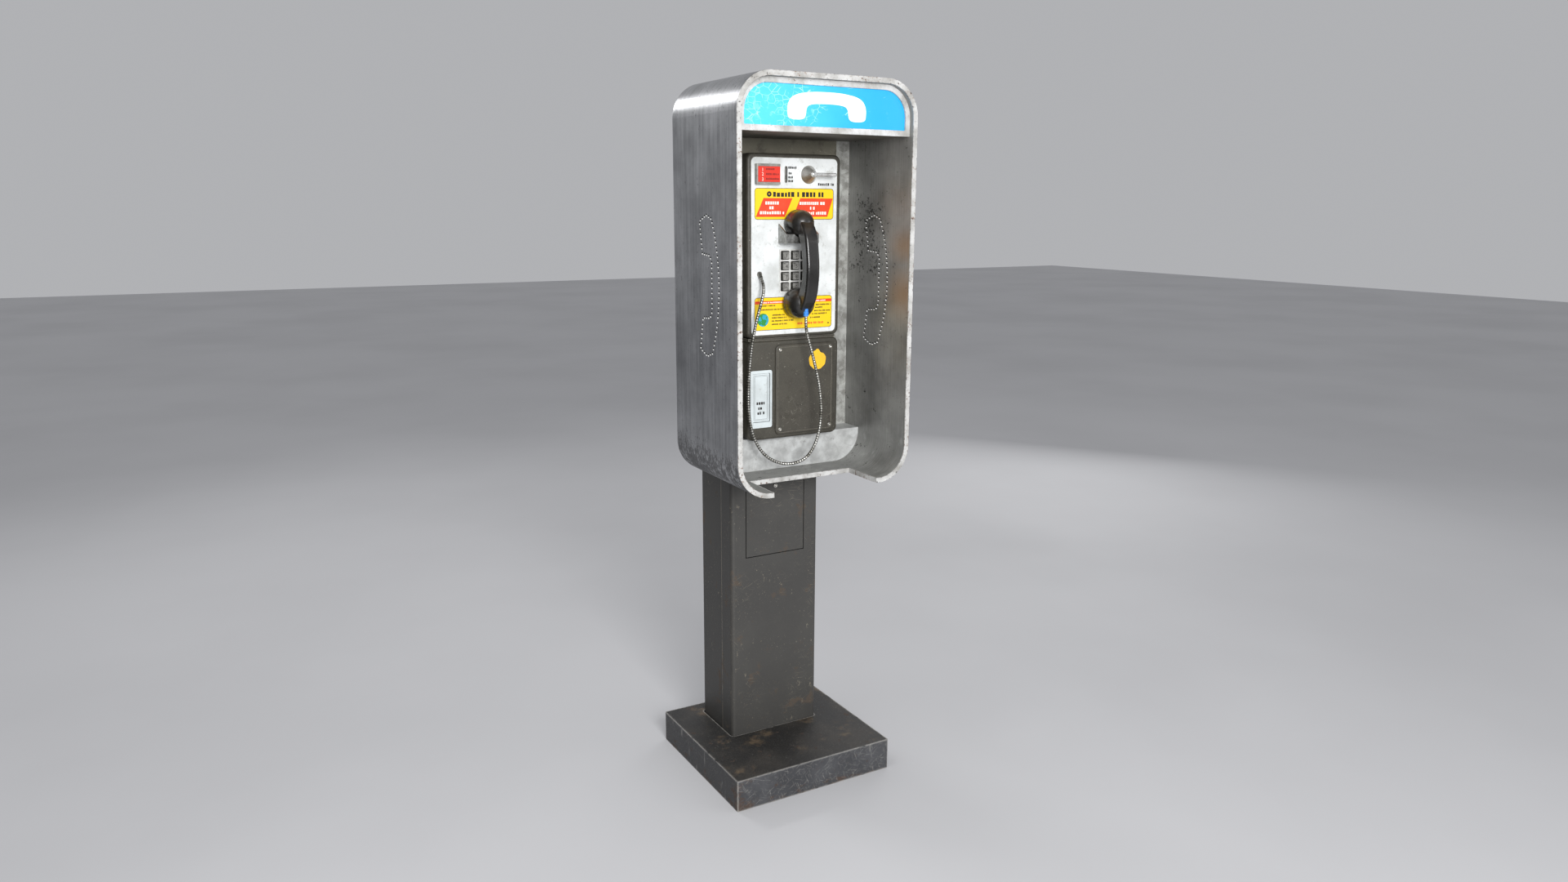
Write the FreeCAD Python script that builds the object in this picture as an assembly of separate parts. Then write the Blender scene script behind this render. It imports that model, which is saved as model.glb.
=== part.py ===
import FreeCAD, Part
import math
import os

from FreeCAD import Vector

# A public telephone in a rounded steel enclosure on a floor pedestal, in millimetres.
# X runs across, Y from front to back and Z up. The origin is on the floor, under the middle of the whole.

# Base and post
base_half = 174.0
base_front = -155.1
base_back = 182.1
base_height = 63.5
base_sheet = 2.5
anchor_thickness = 12.0
anchor_margin = 24.0
anchor_hole_x = 115.0
anchor_hole_y = 105.0
anchor_hole_radius = 9.0
anchor_way_half = 55.0
anchor_way_inset = 35.0
gusset_x = 50.0
gusset_reach = 45.0
gusset_thickness = 8.0
post_half = 99.5
post_front = 10.7
post_back = 149.2
post_corner = 8.0
cover_sheet = 1.5
cover_return = 45.0
column_sheet = 3.0
column_mouth_half = 70.0
door_half = 65.8
door_bottom = 444.2
door_top = 606.2
door_gap = 1.6
door_rim = 2.5
door_screw_height = 585.3
door_screw_hole = 2.75
strap_half = 85.0
strap_rise = 12.0
top_plate_thickness = 8.0

# Enclosure
shell_half = 183.5
shell_front = -182.1
shell_back = 74.1
shell_bottom = 620.5
shell_top = 1354.0
shell_corner = 66.0
shell_wall = 9.1
shell_skin = 1.5
core_slit = 0.4
core_slit_step = 30
trim_depth = 2.0
notch_half = 110.6
notch_back = -88.1
panel_sheet = 2.0
board_front = 27.9
board_half = 144.6
board_thickness = 4.0
shelf_top = 693.6
shelf_front = -21.9
ceiling = 1256.5
sign_front = -171.0
sign_depth = 8.0
sign_border = 10.0
sign_lip = 3.0
floor_bolt_x = 70.0
floor_bolt_rows = (28.0, 62.0)
bolt_radius = 4.0
bolt_hole_radius = 4.6
bolt_head_radius = 8.0
bolt_head_height = 5.0
bolt_end = 8.0
nut_radius = 7.5
nut_height = 6.5
cable_hole_radius = 12.0
cable_hole_y = 45.0
bracket_half = 90.0
bracket_sheet = 4.0
bracket_top = 900.0
knee_toe = 25.0
knee_drop = 40.0
rear_bolt_x = 60.0
rear_bolt_rows = (720.0, 860.0)
lamp_y = -110.0
lamp_z = 1300.0
lamp_half = 150.0
lamp_radius = 8.0
lamp_foot = 12.0
lamp_foot_width = 10.0

# Outline of the handset pricked through both side walls, seen from the side
symbol_y = -83.0
symbol_z = 992.5
symbol_half_height = 118.0
symbol_bow = 29.0
symbol_hole_radius = 2.6
symbol_pitch = 8.8

# Telephone
phone_middle = 11.6
phone_half = 100.5
phone_front = -39.6
phone_top = 1227.0
upper_bottom = 888.5
lower_top = 883.7
phone_corner = 13.0
phone_edge = 5.0
phone_wall = 5.0
face_side = 8.3
face_bottom = 895.4
face_top = 1219.4
face_front = -39.2
face_back = -36.6
face_corner = 9.0
face_ledge = 8.0
neck_inset = 6.0
phone_left = phone_middle - phone_half
phone_right = phone_middle + phone_half
face_left = phone_left + face_side
face_right = phone_right - face_side
lock_y = -4.0
lock_z = 1150.0
lock_radius = 9.0
lock_depth = 14.0
lock_flange = 2.2

# Card holder and coin slot
holder_left = -73.6
holder_right = -24.2
holder_bottom = 1171.0
holder_top = 1208.0
holder_depth = 9.0
holder_floor = 6.5
holder_side = 3.0
holder_rail = 4.5
card_gap = 0.2
card_thickness = 1.5
coin_x = -7.8
coin_z = 1189.8
coin_slot_half_width = 1.2
coin_slot_half_height = 12.0
coin_bezel_half_width = 2.6
coin_bezel_half_height = 14.8
coin_bezel_depth = 2.0

# Keypad
key_wide = 18.2
key_tall = 16.4
key_face_wide = 12.6
key_face_tall = 13.0
key_corner = 2.2
key_face_corner = 1.6
key_step_x = 21.35
key_step_z = 19.45
key_front = -45.0
key_back = -35.0
key_gap = 0.35
bezel_bar = 2.4
bezel_front = -41.2
keypad_middle = 1013.5
board_back = -29.4
board_sheet = 1.6
key_rows = (("1", "2", "3"), ("4", "5", "6"), ("7", "8", "9"), ("star", "0", "hash"))

# Cradle and hook
cradle_left = -23.8
cradle_right = 46.6
cradle_sheet = 3.0
cradle_front = -70.0
cradle_bottom = 1065.5
cradle_lip = 1082.0
cradle_root = 1100.5
hook_axis = (-8.0, 1073.0)
hook_half = 13.5
hook_reach = -64.0
hook_low = 1071.5
hook_high = 1075.0
hook_axle_radius = 2.5
hook_collar_radius = 4.5
hook_ear_inner = 4.0
hook_ear_outer = 7.0
hook_ear_front = -55.0
hook_ear_back = -2.0
hook_ear_top = 1079.0

# Handset
cup_back = -46.0
cap_thickness = 6.0
ear_height = 1101.0
ear_radius = 25.0
ear_sphere_y = -62.0
mouth_height = 954.0
mouth_radius = 28.0
mouth_sphere_y = -60.0
handle_half = 13.5
handle_edge = 5.0
ferrule_y = -83.0
ferrule_end = 932.0
ferrule_radius = 4.4
ferrule_length = 16.5
ferrule_collar = 0.5
ferrule_collar_length = 8.0
sound_hole_radius = 1.4
sound_ring_radius = 8.0
dish_radius = 60.0
dish_depth = 2.5

# Coin release lever
lever_x = 41.5
lever_z = 1190.0
lever_boss_radius = 16.75
lever_boss_front = -56.0
lever_reach = 48.0
lever_shaft_radius = 3.0
lever_shaft_length = 25.0
lever_cone_tip = 5.5
lever_hub_radius = 5.2
lever_hub_length = 6.0
lever_hub_gap = 0.3
lever_arm_half = 3.2
lever_arm_inset = 0.6
lever_arm_thickness = 3.6

# Coin return
return_left = -83.7
return_right = -36.9
return_bottom = 717.9
return_top = 828.6
return_window = (-79.3, -41.3, 729.0, 823.0)
flap_axis = (-34.0, 819.0)
flap_pin_radius = 1.5
flap_barrel_radius = 2.6
flap_front = -39.4
flap_back = -37.0
flap_gap = 0.7
return_frame_depth = 2.0
return_cup_back = 12.0
return_cup_side = 2.2
return_cup_sheet = 1.5
shaft_clearance = 0.05

# Vault door
vault_left = -30.0
vault_right = 99.6
vault_bottom = 701.0
vault_top = 875.0
vault_front = -43.1
vault_corner = 10.0
vault_screw_inset = (9.0, 11.0)
vault_screw_radius = 2.0
vault_screw_hole = 2.05
vault_mouth = (-12.0, 83.6, 722.0, 858.0)
vault_plug_gap = 0.5
coin_box_left = -20.0
coin_box_right = 90.0
coin_box_front = -31.0
coin_box_back = 22.0
coin_box_top = 800.0
coin_box_sheet = 1.5

# Cord: the points of its route from the bushing to the handset, rounded by tangent arcs
cord_radius = 3.0
bushing_x = -63.5
bushing_z = 1008.7
bushing_snout = 8.0
bushing_snout_radius = 3.9
bushing_stem_radius = 4.4
bushing_stem_length = 8.0
bushing_flange_radius = 5.2
bushing_flange_depth = 1.2
cord_route = (
    (-63.5, -44.86, 1003.04),
    (-63.5, -57.6, 990.3),
    (-69.5, -64.5, 970.0),
    (-81.5, -63.0, 930.0),
    (-90.5, -58.5, 880.0),
    (-95.0, -55.0, 820.0),
    (-95.5, -53.0, 758.0),
    (-86.5, -54.5, 706.0),
    (-64.0, -60.0, 666.0),
    (-25.0, -70.0, 646.5),
    (14.0, -82.5, 655.0),
    (35.0, -89.5, 690.0),
    (43.5, -92.0, 742.0),
    (39.5, -91.0, 795.0),
    (29.0, -87.6, 843.0),
    (21.5, -85.4, 872.0),
    (14.0, -83.7, 898.0),
    (11.6, -83.0, 912.5),
    (11.6, -83.0, 932.0),
)


def block(x0, x1, y0, y1, z0, z1):
    return Part.makeBox(x1 - x0, y1 - y0, z1 - z0, Vector(x0, y0, z0))


def rod(radius, start, direction, length):
    return Part.makeCylinder(radius, length, Vector(*start), Vector(*direction))


# Closed outline with rounded corners, one radius on its low side and one on its high side
def outline(a0, a1, b0, b1, low, high, place):
    ends = []
    edges = []
    corners = ((a0, b0, low, 180), (a1, b0, low, 270), (a1, b1, high, 0), (a0, b1, high, 90))
    for a, b, radius, angle in corners:
        centre_a = a + radius if a == a0 else a - radius
        centre_b = b + radius if b == b0 else b - radius
        arc = [
            place(
                centre_a + radius * math.cos(math.radians(angle + turn)),
                centre_b + radius * math.sin(math.radians(angle + turn)),
            )
            for turn in (0, 45, 90)
        ]
        ends.append((arc[0], arc[2]))
        if radius > 0:
            edges.append(Part.Arc(*arc).toShape())
    for this, following in zip(ends, ends[1:] + ends[:1]):
        if this[1].distanceToPoint(following[0]) > 0.001:
            edges.append(Part.makeLine(this[1], following[0]))
    return Part.Wire(Part.__sortEdges__(edges))


# Plate that faces the front: its outline is in X and Z
def panel(x0, x1, z0, z1, y0, y1, low=0.0, high=None):
    upper = low if high is None else high
    wire = outline(x0, x1, z0, z1, low, upper, lambda a, b: Vector(a, y0, b))
    return Part.Face(wire).extrude(Vector(0, y1 - y0, 0))


# Plate that lies flat: its outline is in X and Y
def slab(x0, x1, y0, y1, z0, z1, corner=0.0):
    wire = outline(x0, x1, y0, y1, corner, corner, lambda a, b: Vector(a, b, z0))
    return Part.Face(wire).extrude(Vector(0, 0, z1 - z0))


# Plate cut to a polygon of (y, z) points, seen from the side
def side_plate(points, x0, x1):
    corners = [Vector(x0, y, z) for y, z in points]
    return Part.Face(Part.makePolygon(corners + corners[:1])).extrude(Vector(x1 - x0, 0, 0))


# Edges that lie wholly in the plane y = level
def edges_at(shape, level):
    found = []
    for edge in shape.Edges:
        bounds = edge.BoundBox
        if abs(bounds.YMin - level) < 0.01 and abs(bounds.YMax - level) < 0.01:
            found.append(edge)
    return found


def soften(shape, level, radius):
    return shape.makeFillet(radius, edges_at(shape, level))


# Hexagon-socket button head screw along Y, its head towards the front
def button_screw(x, z, face, head_radius, head_height, shank_radius, shank_length):
    head = rod(head_radius, (x, face - head_height, z), (0, 1, 0), head_height)
    head = soften(head, face - head_height, head_height * 0.45)
    socket = hexagon(head_radius * 0.5, x, z, face - head_height, head_height * 0.5)
    return head.cut(socket).fuse(rod(shank_radius, (x, face, z), (0, 1, 0), shank_length))


def hexagon(radius, x, z, start, length):
    turns = [math.radians(60 * n) for n in range(7)]
    points = [Vector(x + radius * math.cos(t), start, z + radius * math.sin(t)) for t in turns]
    return Part.Face(Part.makePolygon(points)).extrude(Vector(0, length, 0))


def anchor_plate():
    middle = (base_front + base_back) / 2
    half = base_half - anchor_margin
    plate = slab(-half, half, base_front + anchor_margin, base_back - anchor_margin, 0, anchor_thickness, 6)
    holes = [
        rod(anchor_hole_radius, (x, middle + y, 0), (0, 0, 1), anchor_thickness)
        for x in (-anchor_hole_x, anchor_hole_x)
        for y in (-anchor_hole_y, anchor_hole_y)
    ]
    way_front = post_front + anchor_way_inset
    way_back = post_back - anchor_way_inset
    cable_way = slab(-anchor_way_half, anchor_way_half, way_front, way_back, 0, anchor_thickness, 10)
    plate = plate.cut(holes + [cable_way])
    return plate.fuse(gussets()).removeSplitter()


# Four welded triangles that brace the column: one on each side and two in front
def gussets():
    low = anchor_thickness
    high = base_height - 8
    column_side = post_half - cover_sheet
    middle = 0.5 * (post_front + post_back)
    plates = []
    for side in (-1, 1):
        corners = [
            Vector(side * column_side, middle, low),
            Vector(side * (column_side + gusset_reach), middle, low),
            Vector(side * column_side, middle, high),
        ]
        face = Part.Face(Part.makePolygon(corners + corners[:1]))
        plates.append(face.extrude(Vector(0, gusset_thickness, 0)))
        front = [(post_front, low), (post_front - gusset_reach, low), (post_front, high)]
        left = side * gusset_x - gusset_thickness / 2
        plates.append(side_plate(front, left, left + gusset_thickness))
    return plates


def base_cover():
    outer = block(-base_half, base_half, base_front, base_back, 0, base_height)
    inner = block(
        -base_half + base_sheet,
        base_half - base_sheet,
        base_front + base_sheet,
        base_back - base_sheet,
        0,
        base_height - base_sheet,
    )
    gap = 1.0
    half = post_half + gap
    post_way = slab(-half, half, post_front - gap, post_back + gap, 0, base_height, post_corner + gap)
    cover = outer.cut([inner, post_way])
    upright = [
        edge
        for edge in cover.Edges
        if edge.BoundBox.ZLength > base_height - 0.1 and abs(abs(edge.BoundBox.XMin) - base_half) < 0.01
    ]
    return cover.makeFillet(1.5, upright)


# Rear channel of the post, open at the front between two flanges, with a strap for the door's screw
def post_column():
    half = post_half - cover_sheet
    front = post_front + cover_sheet
    outer = slab(-half, half, front, post_back, anchor_thickness, shell_bottom, post_corner)
    inner = slab(
        -half + column_sheet,
        half - column_sheet,
        front + column_sheet,
        post_back - column_sheet,
        anchor_thickness,
        shell_bottom,
        post_corner - column_sheet,
    )
    mouth = block(
        -column_mouth_half, column_mouth_half, front, front + column_sheet, anchor_thickness, shell_bottom
    )
    strap_back = front + 2 * column_sheet
    strap_low = door_screw_height - strap_rise
    strap_high = door_screw_height + strap_rise
    strap = block(-strap_half, strap_half, front + column_sheet, strap_back, strap_low, strap_high)
    strap = strap.cut(rod(door_screw_hole, (0, front, door_screw_height), (0, 1, 0), 20))
    return outer.cut([inner, mouth]).fuse(strap).removeSplitter()


# Front cover of the post: a channel whose returns lap the sides of the column
def post_cover():
    outer = slab(-post_half, post_half, post_front, post_back, anchor_thickness, shell_bottom, post_corner)
    inner = slab(
        -post_half + cover_sheet,
        post_half - cover_sheet,
        post_front + cover_sheet,
        post_back + 20,
        anchor_thickness,
        shell_bottom,
        post_corner - cover_sheet,
    )
    behind = block(
        -post_half, post_half, post_front + cover_return, post_back, anchor_thickness, shell_bottom
    )
    doorway = block(
        -door_half - door_gap,
        door_half + door_gap,
        post_front,
        post_front + cover_sheet,
        door_bottom - door_gap,
        door_top + door_gap,
    )
    return outer.cut([inner, behind, doorway])


def access_door():
    leaf = block(-door_half, door_half, post_front, post_front + cover_sheet, door_bottom, door_top)
    inset = 1.5
    deep = post_front + cover_sheet + door_rim
    rim = block(
        -door_half + inset, door_half - inset, post_front, deep, door_bottom + inset, door_top - inset
    )
    hollow = block(
        -door_half + 2 * inset,
        door_half - 2 * inset,
        post_front + cover_sheet,
        deep,
        door_bottom + 2 * inset,
        door_top - 2 * inset,
    )
    hole = rod(door_screw_hole, (0, post_front, door_screw_height), (0, 1, 0), cover_sheet + door_rim)
    return leaf.fuse(rim).cut([hollow, hole]).removeSplitter()


def access_door_screw():
    return button_screw(0, door_screw_height, post_front, 4.5, 2.6, 2.5, 14)


def post_top_plate():
    gap = 0.2
    half = post_half - cover_sheet - column_sheet - gap
    front = post_front + cover_sheet + column_sheet + gap
    back = post_back - column_sheet - gap
    plate = slab(-half, half, front, back, shell_bottom - top_plate_thickness, shell_bottom, 5)
    return plate.cut(floor_bolt_holes() + [cable_hole()])


def floor_bolt_holes():
    return [
        rod(bolt_hole_radius, (x, y, shell_bottom - 20), (0, 0, 1), 40)
        for x in (-floor_bolt_x, floor_bolt_x)
        for y in floor_bolt_rows
    ]


# Way for the line cable, from the post up into the enclosure
def cable_hole():
    return rod(cable_hole_radius, (0, cable_hole_y, shell_bottom - 20), (0, 0, 1), 40)


# Knee bracket that ties the back of the enclosure to the rear half of the post
def back_bracket():
    foot_back = post_back - 3
    upright = block(
        -bracket_half, bracket_half, shell_back, shell_back + bracket_sheet, shell_bottom, bracket_top
    )
    foot = block(
        -bracket_half, bracket_half, shell_back, foot_back, shell_bottom, shell_bottom + bracket_sheet
    )
    knee_top = bracket_top - knee_drop
    knee = [(shell_back, shell_bottom), (foot_back, shell_bottom), (foot_back, shell_bottom + knee_toe)]
    knee += [(shell_back + bracket_sheet, knee_top), (shell_back, knee_top)]
    left = side_plate(knee, -bracket_half, -bracket_half + bracket_sheet)
    right = side_plate(knee, bracket_half - bracket_sheet, bracket_half)
    return upright.fuse([foot, left, right]).cut(rear_bolt_holes()).removeSplitter()


def rear_bolt_holes():
    return [
        rod(bolt_hole_radius, (x, shell_back - 10, z), (0, 1, 0), 30)
        for x in (-rear_bolt_x, rear_bolt_x)
        for z in rear_bolt_rows
    ]


# Bolts of the enclosure: four down through its floor and four through its back
def enclosure_bolts():
    floor_inside = shell_bottom + shell_wall
    plate_under = shell_bottom - top_plate_thickness
    bolts = []
    for x in (-floor_bolt_x, floor_bolt_x):
        for y in floor_bolt_rows:
            tip = plate_under - bolt_end
            shank = rod(bolt_radius, (x, y, tip), (0, 0, 1), floor_inside - tip)
            head = rod(bolt_head_radius, (x, y, floor_inside), (0, 0, 1), bolt_head_height)
            nut = rod(nut_radius, (x, y, plate_under - nut_height), (0, 0, 1), nut_height)
            bolts.append(shank.fuse([head, nut]).removeSplitter())
    panel_front = shell_back - panel_sheet
    bracket_back = shell_back + bracket_sheet
    for x in (-rear_bolt_x, rear_bolt_x):
        for z in rear_bolt_rows:
            tip = panel_front - bolt_end
            shank = rod(bolt_radius, (x, tip, z), (0, 1, 0), bracket_back - tip)
            head = rod(bolt_head_radius, (x, bracket_back, z), (0, 1, 0), bolt_head_height)
            nut = rod(nut_radius, (x, panel_front - nut_height, z), (0, 1, 0), nut_height)
            bolts.append(shank.fuse([head, nut]).removeSplitter())
    return Part.makeCompound(bolts)


# Rounded loop of wall between two insets from the enclosure's outer surface
def shell_loop(inset_out, inset_in, y0, y1):
    solids = [
        panel(
            -shell_half + inset,
            shell_half - inset,
            shell_bottom + inset,
            shell_top - inset,
            y0,
            y1,
            shell_corner - inset,
        )
        for inset in (inset_out, inset_in)
    ]
    return solids[0].cut(solids[1])


# Opening in the floor, in front, with the given allowance round it
def notch(extra):
    return block(
        -notch_half - extra,
        notch_half + extra,
        shell_front,
        notch_back + extra,
        shell_bottom - 1,
        shell_bottom + shell_wall + 1,
    )


# One side's row of holes, from one face of the wall to the other
def symbol_holes():
    top = symbol_half_height
    front = Vector(0, symbol_y - symbol_bow, symbol_z)
    upper = [(-1, top), (20, top + 7), (47, top - 4), (36, 57), (7, 55), (-1, 43)]
    points = [Vector(0, symbol_y + y, symbol_z + z) for y, z in upper]
    points += [Vector(0, symbol_y + y, symbol_z - z) for y, z in reversed(upper)]
    bow = Part.Arc(points[-1], front, points[0]).toShape()
    edges = [bow] + [Part.makeLine(a, b) for a, b in zip(points, points[1:])]
    path = Part.Wire(edges)
    count = round(path.Length / symbol_pitch)
    spots = path.discretize(Number=count + 1)[:-1]
    width = 2 * shell_half + 2
    return [
        rod(symbol_hole_radius, (-width / 2, spot.y, spot.z), (1, 0, 0), width)
        for spot in spots
    ]


def skin_sheet(inset_out, inset_in, holes):
    sheet = shell_loop(inset_out, inset_in, shell_front + trim_depth, shell_back)
    return sheet.cut([notch(trim_depth)] + floor_bolt_holes() + [cable_hole()] + holes)


def outer_skin():
    return skin_sheet(0, shell_skin, symbol_holes())


# Foam in flat sheets and narrow strips: slit at both ends of each bend, twice within it and beside the notch
def acoustic_core():
    left = -shell_half + shell_corner
    right = shell_half - shell_corner
    bottom = shell_bottom + shell_corner
    top = shell_top - shell_corner
    slits = []
    for x, z, start in ((left, bottom, 180), (right, bottom, 270), (right, top, 0), (left, top, 90)):
        for turn in range(0, 91, core_slit_step):
            slit = block(0, shell_corner, shell_front, shell_back, -core_slit / 2, core_slit / 2)
            slit.rotate(Vector(0, 0, 0), Vector(0, -1, 0), start + turn)
            slit.translate(Vector(x, 0, z))
            slits.append(slit)
    across = notch_back + trim_depth
    slits.append(block(left, right, across, across + core_slit, shell_bottom, shell_bottom + shell_wall))
    return skin_sheet(shell_skin, shell_wall - shell_skin, slits)


def inner_liner():
    return skin_sheet(shell_wall - shell_skin, shell_wall, symbol_holes())


# Painted edging that closes the sandwich along the front rim and round the notch
def edge_trim():
    rim = shell_loop(0, shell_wall, shell_front, shell_front + trim_depth).cut(notch(0))
    floor = (shell_bottom, shell_bottom + shell_wall)
    left = block(-notch_half - trim_depth, -notch_half, shell_front, notch_back, *floor)
    right = block(notch_half, notch_half + trim_depth, shell_front, notch_back, *floor)
    back = block(
        -notch_half - trim_depth, notch_half + trim_depth, notch_back, notch_back + trim_depth, *floor
    )
    return rim.fuse([left, right, back]).removeSplitter()


def inner_bounds():
    return (
        -shell_half + shell_wall,
        shell_half - shell_wall,
        shell_bottom + shell_wall,
        shell_top - shell_wall,
    )


def rear_panel():
    plate = panel(*inner_bounds(), shell_back - panel_sheet, shell_back, shell_corner - shell_wall)
    return plate.cut(rear_bolt_holes())


def backboard():
    return panel(-board_half, board_half, shelf_top, ceiling, board_front, board_front + board_thickness)


# Box-section rail beside the backboard, with a ledge behind the board's edge
def back_rail(side):
    outer_face = shell_half - shell_wall
    back = shell_back - panel_sheet
    tube = block(board_half, outer_face, board_front, back, shelf_top, ceiling)
    bore = block(
        board_half + panel_sheet,
        outer_face - panel_sheet,
        board_front + panel_sheet,
        back - panel_sheet,
        shelf_top,
        ceiling,
    )
    ledge_front = board_front + board_thickness
    ledge = block(board_half - 15, board_half, ledge_front, ledge_front + panel_sheet, shelf_top, ceiling)
    rail = tube.cut(bore).fuse(ledge).removeSplitter()
    if side < 0:
        return rail.mirror(Vector(0, 0, 0), Vector(1, 0, 0))
    return rail


def shelf():
    left, right, floor, _ = inner_bounds()
    corner = shell_corner - shell_wall
    apron = panel(left, right, floor, shelf_top, shelf_front, shelf_front + panel_sheet, corner, 0)
    top = block(left, right, shelf_front, shell_back - panel_sheet, shelf_top - panel_sheet, shelf_top)
    return apron.fuse(top).removeSplitter()


def lightbox_floor():
    left, right, _, _ = inner_bounds()
    return block(
        left, right, sign_front + sign_depth, shell_back - panel_sheet, ceiling, ceiling + panel_sheet
    )


# Frame of the sign, rebated behind to hold the translucent panel
def sign_frame():
    left, right, _, top = inner_bounds()
    corner = shell_corner - shell_wall
    gap = 0.2
    outer = panel(
        left + gap, right - gap, ceiling, top - gap, sign_front, sign_front + sign_depth, 1, corner - gap
    )
    window = panel(
        left + sign_border,
        right - sign_border,
        ceiling + sign_border,
        top - sign_border,
        sign_front,
        sign_front + sign_depth,
        2,
        corner - sign_border,
    )
    rebate = sign_border - 4
    pocket = panel(
        left + rebate,
        right - rebate,
        ceiling + rebate,
        top - rebate,
        sign_front + sign_lip,
        sign_front + sign_depth,
        2,
        corner - rebate,
    )
    return outer.cut([window, pocket])


def sign_panel():
    left, right, _, top = inner_bounds()
    inset = sign_border - 3.5
    return panel(
        left + inset,
        right - inset,
        ceiling + inset,
        top - inset,
        sign_front + sign_lip,
        sign_front + sign_lip + 3,
        2,
        shell_corner - shell_wall - inset,
    )


def lamp_tube():
    return rod(lamp_radius, (-lamp_half, lamp_y, lamp_z), (1, 0, 0), 2 * lamp_half)


def lamp_holders():
    holders = []
    front = lamp_y - lamp_foot
    back = lamp_y + lamp_foot
    for x in (-lamp_half - lamp_foot_width, lamp_half):
        foot = block(x, x + lamp_foot_width, front, back, ceiling + panel_sheet, lamp_z)
        eye = rod(lamp_foot, (x, lamp_y, lamp_z), (1, 0, 0), lamp_foot_width)
        holders.append(foot.fuse(eye).removeSplitter())
    return Part.makeCompound(holders)


# Housing hollowed from behind, with its front edges rounded
def housing(z0, z1):
    body = panel(phone_left, phone_right, z0, z1, phone_front, board_front, phone_corner)
    body = soften(body, phone_front, phone_edge)
    inner_corner = phone_corner - phone_wall
    cavity = panel(
        phone_left + phone_wall,
        phone_right - phone_wall,
        z0 + phone_wall,
        z1 - phone_wall,
        phone_front + phone_wall,
        board_front,
        inner_corner,
    )
    return body.cut(cavity)


def upper_housing():
    face_seat = panel(face_left, face_right, face_bottom, face_top, phone_front, face_back, face_corner)
    window = panel(
        face_left + face_ledge,
        face_right - face_ledge,
        face_bottom + face_ledge,
        face_top - face_ledge,
        phone_front,
        phone_front + phone_wall,
        5,
    )
    lock_hole = rod(lock_radius + shaft_clearance, (phone_right - 20, lock_y, lock_z), (1, 0, 0), 30)
    return housing(upper_bottom, phone_top).cut([face_seat, window, lock_hole])


# The lower housing carries a neck that the upper one stands on
def lower_housing():
    neck = panel(
        phone_left + phone_wall,
        phone_right - phone_wall,
        lower_top,
        upper_bottom,
        phone_front + neck_inset,
        board_front,
    )
    neck_bore = panel(
        phone_left + 2 * phone_wall,
        phone_right - 2 * phone_wall,
        lower_top - phone_wall,
        upper_bottom,
        phone_front + neck_inset + phone_wall,
        board_front,
    )
    mouth = panel(*vault_mouth, phone_front, phone_front + 2 * phone_wall, 4)
    left, right, bottom, top = return_window
    round_cup = return_cup_side + 0.4
    return_mouth = block(
        left - round_cup,
        right + round_cup,
        phone_front,
        phone_front + 2 * phone_wall,
        bottom - round_cup,
        top + 3,
    )
    body = housing(shelf_top, lower_top).fuse(neck).removeSplitter()
    return body.cut([neck_bore, mouth, return_mouth] + vault_screw_holes())


def faceplate():
    plate = panel(face_left, face_right, face_bottom, face_top, face_front, face_back, face_corner)
    bezel_half_x, bezel_half_z = bezel_half()
    keypad_mouth = panel(
        phone_middle - bezel_half_x + 1,
        phone_middle + bezel_half_x - 1,
        keypad_middle - bezel_half_z + 1,
        keypad_middle + bezel_half_z - 1,
        face_front,
        face_back,
    )
    slot = block(
        coin_x - coin_slot_half_width,
        coin_x + coin_slot_half_width,
        face_front,
        face_back,
        coin_z - coin_slot_half_height,
        coin_z + coin_slot_half_height,
    )
    lever_hole = rod(lever_shaft_radius + 0.4, (lever_x, face_front, lever_z), (0, 1, 0), 5)
    hook_mouth_half = hook_half + hook_ear_outer + 0.6
    hook_mouth = block(
        phone_middle - hook_mouth_half,
        phone_middle + hook_mouth_half,
        face_front,
        face_back,
        cradle_bottom + 0.2,
        hook_ear_top + 7,
    )
    cord_hole = rod(bushing_stem_radius + 0.2, (bushing_x, face_front, bushing_z), (0, 1, 0), 5)
    return plate.cut([keypad_mouth, slot, lever_hole, hook_mouth, cord_hole])


# Raised holder, open on its right for the card to slide in
def card_holder():
    front = face_front - holder_depth
    floor = face_front - holder_floor
    body = block(holder_left, holder_right, front, face_front, holder_bottom, holder_top)
    pocket = block(
        holder_left + holder_side,
        holder_right,
        front,
        floor,
        holder_bottom + holder_rail,
        holder_top - holder_rail,
    )
    return soften(body.cut(pocket), front, 0.6)


def instruction_card():
    floor = face_front - holder_floor
    return block(
        holder_left + holder_side + card_gap,
        holder_right - card_gap,
        floor - card_thickness,
        floor,
        holder_bottom + holder_rail + card_gap,
        holder_top - holder_rail - card_gap,
    )


def coin_slot_bezel():
    front = face_front - coin_bezel_depth
    body = panel(
        coin_x - coin_bezel_half_width,
        coin_x + coin_bezel_half_width,
        coin_z - coin_bezel_half_height,
        coin_z + coin_bezel_half_height,
        front,
        face_front,
        2.5,
    )
    slot = panel(
        coin_x - coin_slot_half_width,
        coin_x + coin_slot_half_width,
        coin_z - coin_slot_half_height,
        coin_z + coin_slot_half_height,
        front,
        face_front,
        1.1,
    )
    return soften(body, front, 0.6).cut(slot)


# Cone that the release lever turns on
def lever_boss():
    height = face_front - lever_boss_front
    root = Vector(lever_x, face_front, lever_z)
    cone = Part.makeCone(lever_boss_radius, lever_cone_tip, height, root, Vector(0, -1, 0))
    bore = rod(lever_shaft_radius + shaft_clearance, (lever_x, lever_boss_front, lever_z), (0, 1, 0), 20)
    return cone.cut(bore)


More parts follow.
